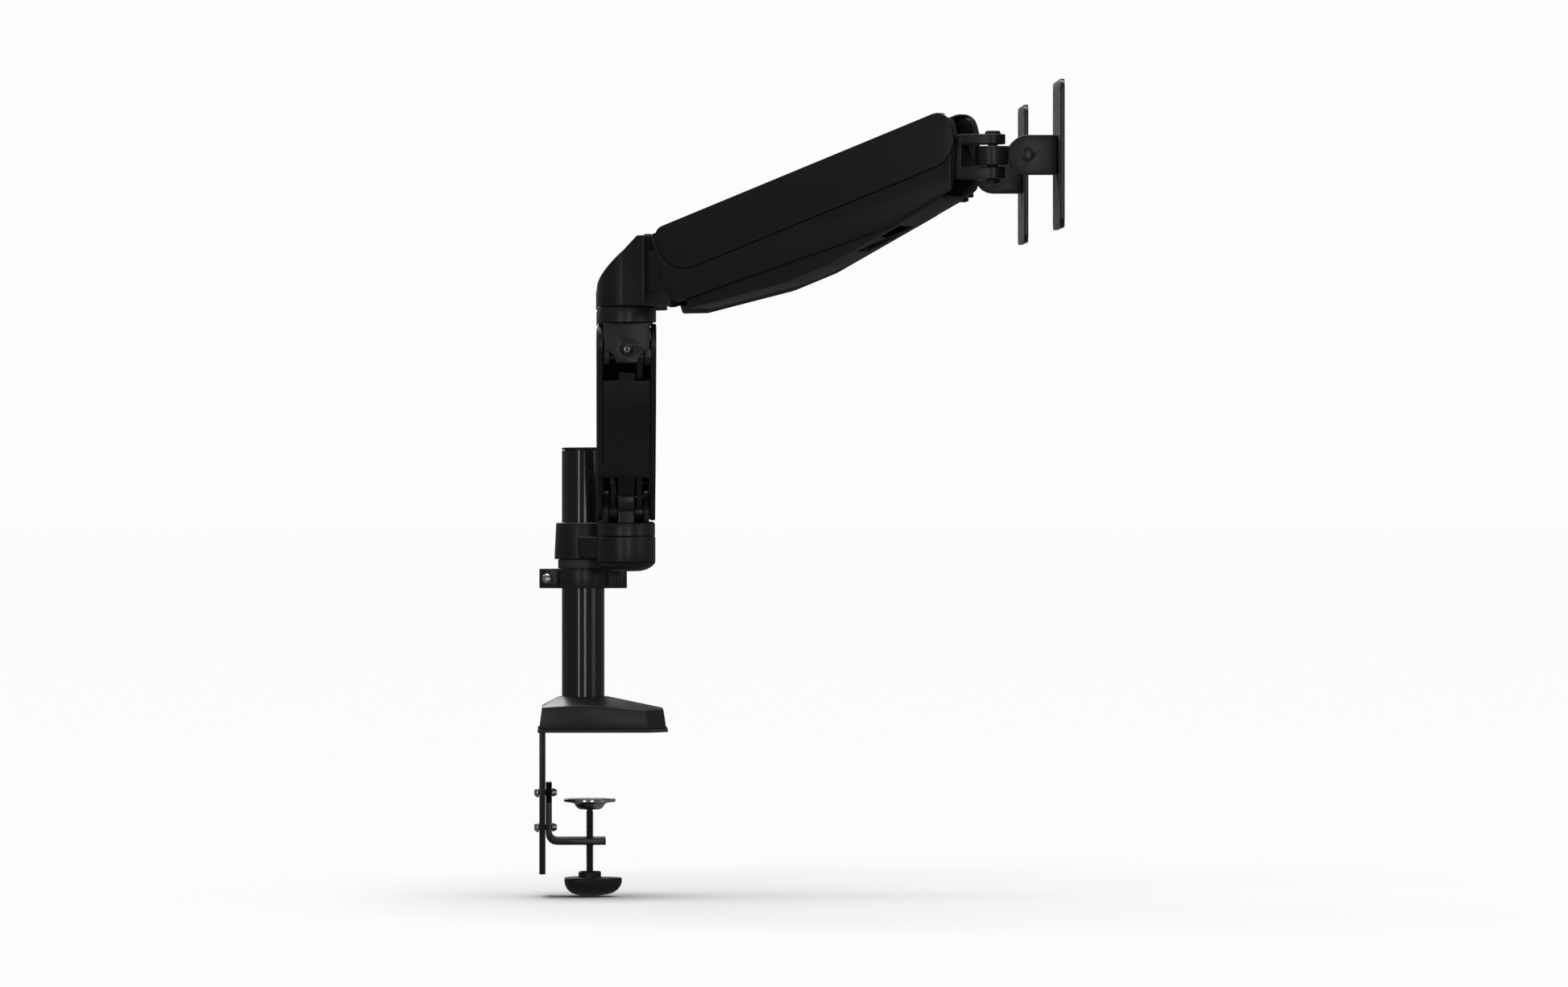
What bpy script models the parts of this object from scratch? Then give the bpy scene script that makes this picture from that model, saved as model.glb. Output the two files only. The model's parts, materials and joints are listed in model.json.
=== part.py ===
# Twin gas-spring monitor arm on a desk-clamp pole.
# Metres, +Z up, +X towards the user. The origin is on the pole's axis, on the desk top.
import math

import bmesh
import bpy
from mathutils import Matrix, Vector

GAP = 0.0003                # clearance between pieces that meet
CUT = 0.0010                # how far a cutter runs past the face that it opens

# Desk clamp and base
BASE_FRONT = 0.0680         # pole axis to the front of the base cover
BASE_REAR = 0.0360          # pole axis to the rear plate's outer face
BASE_HALF_WIDTH = 0.0520
CORNER_CUT_LENGTH = 0.0145
CORNER_CUT_WIDTH = 0.0200
COVER_DRAFT = 0.0023
COVER_WALL = 0.0020
COVER_REAR_HEIGHT = 0.0204
COVER_SIDE_HEIGHT = 0.0226
COVER_FRONT_HEIGHT = 0.0183
COVER_COLLAR_HEIGHT = 0.0285
COVER_COLLAR_WIDTH = 0.0030
PAD_THICKNESS = 0.0025
PAD_LIP = 0.0014
PLATE_THICKNESS = 0.0050
PLATE_HALF_WIDTH = 0.0280
PLATE_FORWARD = 0.0560      # reach of the plate's foot under the base cover
PLATE_DROP = 0.1167
BOLT_HOLE_PITCH = 0.0286
BOLT_HOLE_TOP = -0.0219
BRACKET_WIDTH = 0.0250      # half width
BRACKET_TOP = -0.0420
BRACKET_SHELF = -0.0877
BRACKET_REACH = 0.0185
BRACKET_THICKNESS = 0.0050
BRACKET_BEND = 0.0090
BRACKET_CORNER = 0.0080
BOLT_RADIUS = 0.0025
BOLT_HEAD_RADIUS = 0.0042
BOLT_HEAD_HEIGHT = 0.0042
NUT_THICKNESS = 0.0028
CLAMP_SCREW_X = 0.0054
CLAMP_SCREW_RADIUS = 0.00325
PRESSURE_PAD_TOP = -0.0557
PRESSURE_PAD_RADIUS = 0.02125
PRESSURE_PAD_RIM = 0.0025
PRESSURE_PAD_HUB = 0.0062
KNOB_TOP = -0.1203
KNOB_HEIGHT = 0.0152
KNOB_RADIUS = 0.02365
KNOB_LOBE = 0.00285
KNOB_COLLAR_RADIUS = 0.0093
KNOB_COLLAR_HEIGHT = 0.0052

# Pole, stop ring and arm bracket
POLE_RADIUS = 0.0175
POLE_WALL = 0.0020
POLE_TOP = 0.2330
POLE_PLUG = 0.0220          # solid length at the pole's foot
POLE_SCREW_RADIUS = 0.0040
POLE_SCREW_HEAD = 0.0075    # radius
POLE_SCREW_HEAD_HEIGHT = 0.0022
CAP_THICKNESS = 0.0020
CAP_SPIGOT = 0.0110
RING_BOTTOM = 0.1173
RING_HEIGHT = 0.0160
RING_WALL = 0.0047
RING_EAR_REACH = 0.0362
RING_EAR_DEPTH = 0.0085
RING_SPLIT = 0.0006
RING_HOLE_FLOOR = 0.0020    # what is left behind each bolt's blind hole
RING_BOLT_HEAD = 0.0033
BUSH_WALL = 0.0016
BUSH_LIP = 0.0012
BUSH_LIP_HEIGHT = 0.0073
SLEEVE_HEIGHT = 0.0300
SLEEVE_WALL = 0.0025
SLEEVE_FLARE = 0.0014
SLEEVE_TOP_RADIUS = POLE_RADIUS + BUSH_WALL + 2 * GAP + SLEEVE_WALL
SLEEVE_FOOT_RADIUS = SLEEVE_TOP_RADIUS + SLEEVE_FLARE
NECK_RADIUS = 0.0175
NECK_STEP = 0.0012          # how far the necks stand back from the hubs' faces
HUB_FORWARD = 0.0350
HUB_SPREAD = 0.0420
HUB_RADIUS = 0.0240
HUB_BOTTOM = 0.1390
HUB_TOP = 0.1603
HUB_DOME = 0.0073
HUB_SHAFT_RADIUS = 0.0117
HUB_SHAFT_DEPTH = 0.0230

# Both links
LINK_HALF_WIDTH = 0.0238
LINK_WALL = 0.0044
CHEEK_THICKNESS = 0.0046
PIN_RADIUS = 0.0040
TIE_PIN_RADIUS = 0.0025
PIN_COVER = 0.0028          # what the link leaves beyond each end of its main pin
PIN_REACH = LINK_HALF_WIDTH - PIN_COVER
TIE_WIDTH = 0.0064
TIE_SIDE_GAP = 0.0005
WEB_SIDE_GAP = 0.0006
TIE_EYE_RADIUS = 0.0055
TIE_BAR_HALF_HEIGHT = 0.0030
ROD_RADIUS = 0.0030
ROD_EYE_WIDTH = 0.0060
ROD_EYE_WALL = 0.0014

# Lower link
LOWER_PIVOT_HEIGHT = 0.1900
LOWER_DISC_TOP = -0.0185    # top of the lower yoke's disc, from that pivot
LOWER_LENGTH = 0.1550
LOWER_PITCH = math.radians(54.5)
LOWER_TIE_ARM = PIN_RADIUS + 0.0080
LOWER_TIE_LEAN = math.radians(35.0)
LOWER_END = 0.0165          # reach of the link's ends past their pivots
LOWER_BACK = 0.0200
LOWER_BELLY = 0.0240
LOWER_BELLY_START = 0.0200
LOWER_BELLY_FULL = 0.0440
LOWER_CYLINDER_RADIUS = 0.0058
LOWER_EYE_PLAY = 0.0024
LOWER_WINDOW = 0.0380       # where the lower windows end, from the lower pivot
UPPER_WINDOW = 0.0240       # where the upper windows start, before the upper pivot
LOWER_COVER_WALL = 0.0018
DRUM_RADIUS = 0.0158

# Elbow
ELBOW_DISC_GAP = 0.0178     # from the lower link's upper pivot to the disc above it
ELBOW_DISC_HEIGHT = 0.0127
ELBOW_HUB_HEIGHT = 0.0570
ELBOW_SHAFT_RADIUS = 0.0097
ELBOW_SHAFT_HEIGHT = 0.0420
ELBOW_SLOPE_FOOT = 0.0145   # height of the sloped cut's lower edge on the hub
ELBOW_SLOPE = math.radians(43.0)
ELBOW_NECK = 0.0550         # elbow axis to the upper link's rear pivot
UPPER_PIVOT_RISE = 0.0668   # rise from the lower link's upper pivot to that pivot

# Upper link
UPPER_SPLAY = math.radians(30.0)
UPPER_PITCH = math.radians(19.3)
UPPER_LENGTH = 0.2470
UPPER_TIE_ARM = PIN_RADIUS + 0.0120
UPPER_REAR = 0.0130
UPPER_FRONT = 0.0243
UPPER_CHIN = 0.0095         # reach of the front's lower corner, which slopes back
UPPER_CHIN_TOP = 0.0090
UPPER_TOP = 0.0270
UPPER_BOTTOM_REAR = 0.0325
UPPER_BOTTOM_FRONT = 0.0320
UPPER_BOTTOM_DEEP = 0.0414
UPPER_SKIN = 0.0024
UPPER_SEAM = 0.0110         # depth of the top cover's skirt below the pivots
UPPER_BELLY_DEEP = 0.0505
UPPER_BELLY_REAR = 0.0405
UPPER_BELLY_FRONT = 0.0360
UPPER_COVER_WALL = 0.0022
UPPER_CYLINDER_RADIUS = 0.0078
UPPER_EYE_PLAY = 0.0040
NOSE_NOTCH = 0.0145

# Head
CLEVIS_REACH = 0.0450       # front pivot to the head's swivel bolt
CLEVIS_BLOCK = 0.0240
CLEVIS_HALF_WIDTH = 0.0130
CLEVIS_TIP_RADIUS = 0.0100
CLEVIS_TOP = 0.0164
CLEVIS_BOTTOM = 0.0191
TAB_TOP_THICKNESS = 0.0080
TAB_BOTTOM_THICKNESS = 0.0095
TONGUE_RADIUS = 0.0140
TONGUE_PLAY = 0.0015
HEAD_BOLT_RADIUS = 0.0040
HEAD_BOLT_HEAD = 0.0065
HEAD_BOLT_RISE = 0.0024
TILT_REACH = 0.0270
TILT_BARREL_RADIUS = 0.0098
TILT_BARREL_HALF = 0.0092
TILT_BOLT_RADIUS = 0.0030
KNUCKLE_RADIUS = 0.0155
KNUCKLE_CHEEK = 0.0065
KNUCKLE_LENGTH = 0.0231
VESA_SPACINGS = (0.1000, 0.0750)
VESA_HOLE_RADIUS = 0.0026
VESA_MARGIN = 0.0085
VESA_THICKNESS = 0.0036
VESA_CORNER = 0.0080
VESA_SPIGOT_RADIUS = 0.0080
VESA_SPIGOT = 0.0050

# Sides of a round piece, by its size
FINE = 24
ROUND = 18
SMALL = 12
TINY = 8
KNOB_SIDES = 24

FINISHES = {
    "cover": ((0.014, 0.015, 0.013), 0.42, 0.0),
    "cast": ((0.017, 0.018, 0.016), 0.46, 0.2),
    "steel": ((0.020, 0.021, 0.020), 0.40, 0.6),
    "gloss": ((0.010, 0.011, 0.011), 0.22, 0.3),
    "plastic": ((0.012, 0.012, 0.012), 0.50, 0.0),
    "zinc": ((0.62, 0.62, 0.60), 0.28, 1.0),
    "nylon": ((0.050, 0.050, 0.050), 0.55, 0.0),
    "rubber": ((0.030, 0.030, 0.030), 0.80, 0.0),
}

PLAN = Matrix.Identity(4)
SIDE_VIEW = Matrix(((1, 0, 0, 0), (0, 0, 1, 0), (0, 1, 0, 0), (0, 0, 0, 1)))
LINK_VIEW = Matrix(((0, 0, 1, 0), (0, 1, 0, 0), (1, 0, 0, 0), (0, 0, 0, 1)))


def new_collection(name):
    collection = bpy.data.collections.new(name)
    bpy.context.scene.collection.children.link(collection)
    return collection


for leftover in list(bpy.data.objects):
    bpy.data.objects.remove(leftover, do_unlink=True)
parts = new_collection("monitor_arm")
work = new_collection("construction")


# Solids --------------------------------------------------------------------

def solid(bm):
    bmesh.ops.recalc_face_normals(bm, faces=bm.faces)
    mesh = bpy.data.meshes.new("solid")
    bm.to_mesh(mesh)
    bm.free()
    obj = bpy.data.objects.new("solid", mesh)
    obj.hide_render = True
    obj.display_type = "WIRE"
    work.objects.link(obj)
    return obj


def baked(obj, used=()):
    evaluated = obj.evaluated_get(bpy.context.evaluated_depsgraph_get())
    mesh = bpy.data.meshes.new_from_object(evaluated)
    bm = bmesh.new()
    bm.from_mesh(mesh)
    bmesh.ops.remove_doubles(bm, verts=bm.verts, dist=0.0000005)
    bmesh.ops.dissolve_degenerate(bm, edges=bm.edges, dist=0.0000005)
    bmesh.ops.dissolve_limit(bm, angle_limit=math.radians(0.3), verts=bm.verts, edges=bm.edges)
    bmesh.ops.holes_fill(bm, edges=[edge for edge in bm.edges if edge.is_boundary], sides=4)
    bmesh.ops.delete(bm, geom=[edge for edge in bm.edges if edge.is_wire], context="EDGES")
    result = solid(bm)
    for spent in (obj, *used):
        bpy.data.objects.remove(spent, do_unlink=True)
    return result


def combine(operation, target, others):
    for other in others:
        modifier = target.modifiers.new(operation, "BOOLEAN")
        modifier.operation = operation
        modifier.object = other
    return baked(target, others)


def union(target, *others):
    return combine("UNION", target, others)


def cut(target, *others):
    return combine("DIFFERENCE", target, others)


def overlap(target, *others):
    return combine("INTERSECT", target, others)


def block(low, high):
    size = [top - bottom for bottom, top in zip(low, high)]
    middle = [(bottom + top) / 2 for bottom, top in zip(low, high)]
    bm = bmesh.new()
    place = Matrix.Translation(middle) @ Matrix.Diagonal((*size, 1.0))
    bmesh.ops.create_cube(bm, size=1.0, matrix=place)
    return solid(bm)


def rod(radius, start, end, sides=ROUND, end_radius=None):
    start = Vector(start)
    end = Vector(end)
    along = end - start
    place = Matrix.Translation((start + end) / 2) @ along.to_track_quat("Z", "Y").to_matrix().to_4x4()
    bm = bmesh.new()
    bmesh.ops.create_cone(bm, cap_ends=True, segments=sides, radius1=radius,
                          radius2=end_radius or radius, depth=along.length, matrix=place)
    return solid(bm)


def turned(profile, sides=ROUND, closed=False):
    bm = bmesh.new()
    corners = [bm.verts.new((radius, 0.0, height)) for radius, height in profile]
    for first, second in zip(corners, corners[1:]):
        bm.edges.new((first, second))
    if closed:
        bm.edges.new((corners[-1], corners[0]))
    mesh = bpy.data.meshes.new("profile")
    bm.to_mesh(mesh)
    bm.free()
    obj = bpy.data.objects.new("profile", mesh)
    work.objects.link(obj)
    screw = obj.modifiers.new("turn", "SCREW")
    screw.steps = sides
    screw.render_steps = sides
    screw.use_merge_vertices = True
    screw.merge_threshold = 0.00001
    return baked(obj)


def hull(*pieces):
    bm = bmesh.new()
    for piece in pieces:
        for vertex in piece.data.vertices:
            bm.verts.new(vertex.co)
        bpy.data.objects.remove(piece, do_unlink=True)
    bmesh.ops.remove_doubles(bm, verts=bm.verts, dist=0.000002)
    result = bmesh.ops.convex_hull(bm, input=bm.verts)
    spare = set(result["geom_interior"] + result["geom_unused"])
    bmesh.ops.delete(bm, geom=[v for v in spare if isinstance(v, bmesh.types.BMVert)], context="VERTS")
    bmesh.ops.dissolve_limit(bm, angle_limit=math.radians(0.3), verts=bm.verts, edges=bm.edges)
    return solid(bm)


def slab(points, low, high, view):
    curve = bpy.data.curves.new("outline", "CURVE")
    curve.dimensions = "2D"
    curve.fill_mode = "BOTH"
    curve.extrude = (high - low) / 2
    spline = curve.splines.new("POLY")
    spline.points.add(len(points) - 1)
    for point, (u, v) in zip(spline.points, points):
        point.co = (u, v, 0.0, 1.0)
    spline.use_cyclic_u = True
    guide = bpy.data.objects.new("outline", curve)
    work.objects.link(guide)
    evaluated = guide.evaluated_get(bpy.context.evaluated_depsgraph_get())
    mesh = bpy.data.meshes.new_from_object(evaluated)
    mesh.transform(view @ Matrix.Translation((0.0, 0.0, (low + high) / 2)))
    bpy.data.objects.remove(guide, do_unlink=True)
    bm = bmesh.new()
    bm.from_mesh(mesh)
    bmesh.ops.remove_doubles(bm, verts=bm.verts, dist=0.000002)
    bmesh.ops.dissolve_limit(bm, angle_limit=math.radians(0.3), verts=bm.verts, edges=bm.edges)
    return solid(bm)


# Outlines: corners are (u, v, radius) ---------------------------------------

def rounded(corners, steps=4):
    points = []
    for index, (u, v, radius) in enumerate(corners):
        here = Vector((u, v))
        before = (Vector(corners[index - 1][:2]) - here).normalized()
        after = (Vector(corners[(index + 1) % len(corners)][:2]) - here).normalized()
        if radius <= 0.0:
            points.append((u, v))
            continue
        half = before.angle(after) / 2
        centre = here + (before + after).normalized() * (radius / math.sin(half))
        first = here + before * (radius / math.tan(half)) - centre
        last = here + after * (radius / math.tan(half)) - centre
        start = math.atan2(first.y, first.x)
        sweep = (math.atan2(last.y, last.x) - start + math.pi) % math.tau - math.pi
        for step in range(steps + 1):
            angle = start + sweep * step / steps
            points.append((centre.x + radius * math.cos(angle), centre.y + radius * math.sin(angle)))
    return points


def inset(corners, distance):
    area = sum(a[0] * b[1] - b[0] * a[1] for a, b in zip(corners, corners[1:] + corners[:1]))
    turn = 1.0 if area > 0.0 else -1.0
    result = []
    for index, (u, v, radius) in enumerate(corners):
        here = Vector((u, v))
        arriving = (here - Vector(corners[index - 1][:2])).normalized()
        leaving = (Vector(corners[(index + 1) % len(corners)][:2]) - here).normalized()
        first = Vector((-arriving.y, arriving.x)) * turn
        second = Vector((-leaving.y, leaving.x)) * turn
        moved = here + (first + second) * (distance / (1.0 + first.dot(second)))
        bend = arriving.x * leaving.y - arriving.y * leaving.x
        inner = radius - distance if bend * turn > 0.0 else radius + distance
        result.append((moved.x, moved.y, max(inner, 0.0) if radius > 0.0 else 0.0))
    return result


# Placing --------------------------------------------------------------------

def axis(name, frame, parent=None, mirror=False):
    empty = bpy.data.objects.new(name, None)
    empty.empty_display_size = 0.02
    work.objects.link(empty)
    if parent:
        empty.parent = parent["empty"]
        empty.matrix_local = parent["frame"].inverted() @ frame
    else:
        empty.matrix_local = frame
    return {"empty": empty, "frame": frame, "mirror": mirror}


def finish_material(name, finish):
    color, roughness, metallic = FINISHES[finish]
    material = bpy.data.materials.new(name)
    material.use_nodes = True
    shader = material.node_tree.nodes["Principled BSDF"]
    shader.inputs["Base Color"].default_value = (*color, 1.0)
    shader.inputs["Roughness"].default_value = roughness
    shader.inputs["Metallic"].default_value = metallic
    material.diffuse_color = (*color, 1.0)
    return material


def place(name, obj, on, finish):
    """Name a solid and hang it on an axis; a mirrored axis takes the solid's mirror image."""
    mesh = obj.data
    if on["mirror"]:
        mesh.transform(Matrix.Diagonal((-1.0, 1.0, 1.0, 1.0)))
        mesh.flip_normals()
    work.objects.unlink(obj)
    parts.objects.link(obj)
    obj.name = name
    mesh.name = name
    obj.hide_render = False
    obj.display_type = "TEXTURED"
    obj.parent = on["empty"]
    mesh.materials.append(finish_material(name, finish))
    mesh.shade_smooth()
    mesh.set_sharp_from_angle(angle=math.radians(35))


def link_frame(pivot, heading, pitch=0.0):
    """X across the link, Y to its top side, Z along it."""
    level = Vector((math.cos(heading), math.sin(heading), 0.0))
    along = level * math.cos(pitch) + Vector((0.0, 0.0, math.sin(pitch)))
    across = Vector((-level.y, level.x, 0.0))
    top = along.cross(across)
    frame = Matrix((across, top, along)).transposed().to_4x4()
    frame.translation = pivot
    return frame


# Desk clamp -----------------------------------------------------------------

def base_outline(grow):
    front = BASE_FRONT + grow
    rear = -BASE_REAR - grow
    wide = BASE_HALF_WIDTH + grow
    return [(rear, -wide), (front - CORNER_CUT_LENGTH, -wide), (front, CORNER_CUT_WIDTH - wide),
            (front, wide - CORNER_CUT_WIDTH), (front - CORNER_CUT_LENGTH, wide), (rear, wide)]


def cover_block(wall, floor):
    """Low hipped roof over the clamp plate, shrunk by wall on every side but the floor."""
    collar = COVER_COLLAR_HEIGHT - wall
    heights = (COVER_REAR_HEIGHT, COVER_FRONT_HEIGHT, COVER_FRONT_HEIGHT)
    rims = base_outline(-wall)
    shoulders = base_outline(-wall - COVER_DRAFT)
    bm = bmesh.new()
    for x, y in rims:
        bm.verts.new((x, y, floor))
    for (x, y), height in zip(shoulders, (*heights, *reversed(heights))):
        bm.verts.new((x, y, height - wall))
    for y in (-1, 1):
        bm.verts.new((0.0, y * (BASE_HALF_WIDTH - wall - COVER_DRAFT), COVER_SIDE_HEIGHT - wall))
    bmesh.ops.create_circle(bm, segments=ROUND, radius=POLE_RADIUS + COVER_COLLAR_WIDTH,
                            matrix=Matrix.Translation((0.0, 0.0, collar)))
    return hull(solid(bm))


def plate_hole_heights():
    return [BOLT_HOLE_TOP - BOLT_HOLE_PITCH * count for count in range(4)]


def make_clamp(root):
    foot_floor = PAD_THICKNESS + GAP
    plate_top = foot_floor + PLATE_THICKNESS
    plate_front = -BASE_REAR + PLATE_THICKNESS
    tongue = PLATE_HALF_WIDTH + GAP

    pad = slab(base_outline(PAD_LIP), 0.0, PAD_THICKNESS, PLAN)
    slot = block((-BASE_REAR - GAP, -tongue, -CUT), (plate_front + GAP, tongue, PAD_THICKNESS + CUT))
    place("base_pad", cut(pad, slot), root, "rubber")

    bend = PLATE_THICKNESS + 0.001
    path = [(-BASE_REAR, -PLATE_DROP, 0), (-BASE_REAR, plate_top, bend), (PLATE_FORWARD, plate_top, 0),
            (PLATE_FORWARD, foot_floor, 0), (plate_front, foot_floor, 0.001), (plate_front, -PLATE_DROP, 0)]
    plate = slab(rounded(path), -PLATE_HALF_WIDTH, PLATE_HALF_WIDTH, SIDE_VIEW)
    holes = [rod(BOLT_RADIUS + GAP, (-BASE_REAR - CUT, 0, z), (plate_front + CUT, 0, z), TINY)
             for z in plate_hole_heights()]
    screw_hole = rod(POLE_SCREW_RADIUS + GAP, (0, 0, foot_floor - CUT), (0, 0, plate_top + CUT), TINY)
    recess = rod(POLE_SCREW_HEAD + GAP, (0, 0, foot_floor - CUT),
                 (0, 0, foot_floor + POLE_SCREW_HEAD_HEIGHT + GAP), SMALL)
    place("clamp_plate", cut(plate, screw_hole, recess, *holes), root, "steel")

    shell = cut(cover_block(0.0, foot_floor), cover_block(COVER_WALL, foot_floor - CUT))
    pole_hole = rod(POLE_RADIUS + GAP, (0, 0, foot_floor), (0, 0, COVER_COLLAR_HEIGHT + CUT), FINE)
    notch = block((-BASE_REAR - CUT, -tongue, 0), (plate_front, tongue, plate_top + GAP))
    place("base_cover", cut(shell, pole_hole, notch), root, "cover")

    inner = plate_front + GAP
    outer = inner + BRACKET_THICKNESS
    floor = BRACKET_SHELF - BRACKET_THICKNESS
    path = [(inner, BRACKET_TOP, 0), (inner, floor, BRACKET_BEND), (BRACKET_REACH, floor, 0),
            (BRACKET_REACH, BRACKET_SHELF, 0),
            (outer, BRACKET_SHELF, BRACKET_BEND - BRACKET_THICKNESS), (outer, BRACKET_TOP, 0)]
    bracket = slab(rounded(path), -BRACKET_WIDTH, BRACKET_WIDTH, SIDE_VIEW)
    corners = []
    for side in (-1, 1):
        corner = rod(BRACKET_CORNER * 2, (inner - CUT, side * BRACKET_WIDTH, BRACKET_TOP),
                     (outer + CUT, side * BRACKET_WIDTH, BRACKET_TOP), 4)
        corners.append(corner)
    bolts = plate_hole_heights()[1:3]
    holes = [rod(BOLT_RADIUS + GAP, (inner - CUT, 0, z), (outer + CUT, 0, z), TINY) for z in bolts]
    thread = rod(CLAMP_SCREW_RADIUS + GAP, (CLAMP_SCREW_X, 0, floor - CUT),
                 (CLAMP_SCREW_X, 0, BRACKET_SHELF + CUT), SMALL)
    place("clamp_bracket", cut(bracket, *corners, *holes, thread), root, "steel")

    for label, z in zip(("upper", "lower"), bolts):
        head_face = -BASE_REAR - GAP
        head = rod(BOLT_HEAD_RADIUS, (head_face, 0, z), (head_face - BOLT_HEAD_HEIGHT, 0, z), TINY,
                   BOLT_HEAD_RADIUS * 0.55)
        tip = outer + GAP + NUT_THICKNESS + 0.001
        shank = rod(BOLT_RADIUS, (head_face - CUT, 0, z), (tip, 0, z), TINY)
        place(f"bracket_bolt_{label}", union(head, shank), root, "zinc")
        nut = rod(BOLT_HEAD_RADIUS, (outer + GAP, 0, z), (outer + GAP + NUT_THICKNESS, 0, z), 6)
        bore = rod(BOLT_RADIUS + GAP, (outer, 0, z), (tip + CUT, 0, z), TINY)
        place(f"bracket_nut_{label}", cut(nut, bore), root, "zinc")


def make_clamp_screw(root):
    pad_axis = axis("pressure_pad_axis", Matrix.Translation((CLAMP_SCREW_X, 0, PRESSURE_PAD_TOP)), root)
    screw_axis = axis("clamp_screw_axis", pad_axis["frame"], pad_axis)
    hub_floor = -PRESSURE_PAD_RIM - PRESSURE_PAD_HUB
    socket_top = -PRESSURE_PAD_RIM - GAP * 3
    bore = CLAMP_SCREW_RADIUS + GAP
    profile = [(0, 0), (PRESSURE_PAD_RADIUS, 0), (PRESSURE_PAD_RADIUS, -PRESSURE_PAD_RIM),
               (PRESSURE_PAD_RADIUS * 0.66, -PRESSURE_PAD_RIM - 0.0008),
               (PRESSURE_PAD_RADIUS * 0.50, hub_floor + 0.0012), (PRESSURE_PAD_RADIUS * 0.36, hub_floor),
               (bore, hub_floor), (bore, socket_top), (0, socket_top)]
    place("pressure_pad", turned(profile), pad_axis, "zinc")

    knob_top = KNOB_TOP - PRESSURE_PAD_TOP
    collar_top = knob_top + KNOB_COLLAR_HEIGHT
    socket = collar_top - 0.012
    screw = rod(CLAMP_SCREW_RADIUS, (0, 0, socket + GAP), (0, 0, socket_top - GAP), SMALL)
    place("clamp_screw", screw, screw_axis, "steel")

    levels = ((0.0, 0.97), (0.0012, 1.0), (0.0050, 0.985), (0.0092, 0.90), (0.0124, 0.74), (0.0144, 0.50))
    bm = bmesh.new()
    for depth, scale in (*levels, (KNOB_HEIGHT, 0.25)):
        for step in range(KNOB_SIDES):
            angle = math.tau * step / KNOB_SIDES
            reach = (KNOB_RADIUS + KNOB_LOBE * math.cos(3 * angle)) * scale
            bm.verts.new((reach * math.cos(angle), reach * math.sin(angle), knob_top - depth))
    collar = rod(KNOB_COLLAR_RADIUS, (0, 0, knob_top - CUT), (0, 0, collar_top), SMALL)
    well = rod(bore, (0, 0, socket), (0, 0, collar_top + CUT), SMALL)
    place("clamp_knob", cut(union(hull(solid(bm)), collar), well), screw_axis, "plastic")


# Pole, stop ring and arm bracket --------------------------------------------

def make_pole(root):
    foot = PAD_THICKNESS + PLATE_THICKNESS + 2 * GAP
    bore = POLE_RADIUS - POLE_WALL
    rim = POLE_TOP - CAP_THICKNESS - GAP
    thread = POLE_SCREW_RADIUS + GAP
    profile = [(bore, rim), (POLE_RADIUS, rim), (POLE_RADIUS, foot), (thread, foot),
               (thread, foot + POLE_PLUG), (bore, foot + POLE_PLUG)]
    place("pole", turned(profile, FINE, closed=True), root, "gloss")

    spigot = bore - GAP
    profile = [(0, POLE_TOP), (POLE_RADIUS - 0.0008, POLE_TOP), (POLE_RADIUS, POLE_TOP - 0.0008),
               (POLE_RADIUS, rim + GAP), (spigot, rim + GAP), (spigot, rim - CAP_SPIGOT),
               (0, rim - CAP_SPIGOT)]
    place("pole_cap", turned(profile, FINE), root, "plastic")

    seat = PAD_THICKNESS + GAP
    neck = seat + POLE_SCREW_HEAD_HEIGHT
    tip = foot + POLE_PLUG * 0.8
    profile = [(0, tip), (POLE_SCREW_RADIUS, tip), (POLE_SCREW_RADIUS, neck), (POLE_SCREW_HEAD, neck),
               (POLE_SCREW_HEAD, seat), (0, seat)]
    place("pole_screw", turned(profile, SMALL), root, "zinc")


def make_stop_ring(ring_axis):
    inner = POLE_RADIUS + GAP
    outer = inner + RING_WALL
    ear_start = outer - RING_WALL / 2
    bolt_x = (RING_EAR_REACH + outer) / 2
    split = RING_SPLIT / 2
    hole_depth = RING_EAR_DEPTH - RING_HOLE_FLOOR
    for label, side in (("left", -1), ("right", 1)):
        ring = rod(outer, (0, 0, 0), (0, 0, RING_HEIGHT), FINE)
        ears = []
        for end in (-1, 1):
            xs = sorted((end * ear_start, end * RING_EAR_REACH))
            ys = sorted((0.0, side * RING_EAR_DEPTH))
            ears.append(block((xs[0], ys[0], 0.0), (xs[1], ys[1], RING_HEIGHT)))
        away = sorted((side * split, -side * 0.1))
        other_half = block((-0.1, away[0], -CUT), (0.1, away[1], RING_HEIGHT + CUT))
        bore = rod(inner, (0, 0, -CUT), (0, 0, RING_HEIGHT + CUT), FINE)
        holes = [rod(BOLT_RADIUS + GAP, (end * bolt_x, end * (RING_EAR_DEPTH + CUT), RING_HEIGHT / 2),
                     (end * bolt_x, -end * hole_depth, RING_HEIGHT / 2), TINY) for end in (-1, 1)]
        place(f"stop_ring_{label}", cut(union(ring, *ears), other_half, bore, *holes), ring_axis, "cast")
    for label, end in (("rear", -1), ("front", 1)):
        face = end * (RING_EAR_DEPTH + GAP)
        middle = RING_HEIGHT / 2
        head = rod(BOLT_HEAD_RADIUS, (end * bolt_x, face, middle),
                   (end * bolt_x, face + end * RING_BOLT_HEAD, middle), TINY, BOLT_HEAD_RADIUS * 0.8)
        shank = rod(BOLT_RADIUS, (end * bolt_x, face + end * CUT, middle),
                    (end * bolt_x, end * (GAP - hole_depth), middle), TINY)
        place(f"stop_bolt_{label}", union(head, shank), ring_axis, "zinc")


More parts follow.
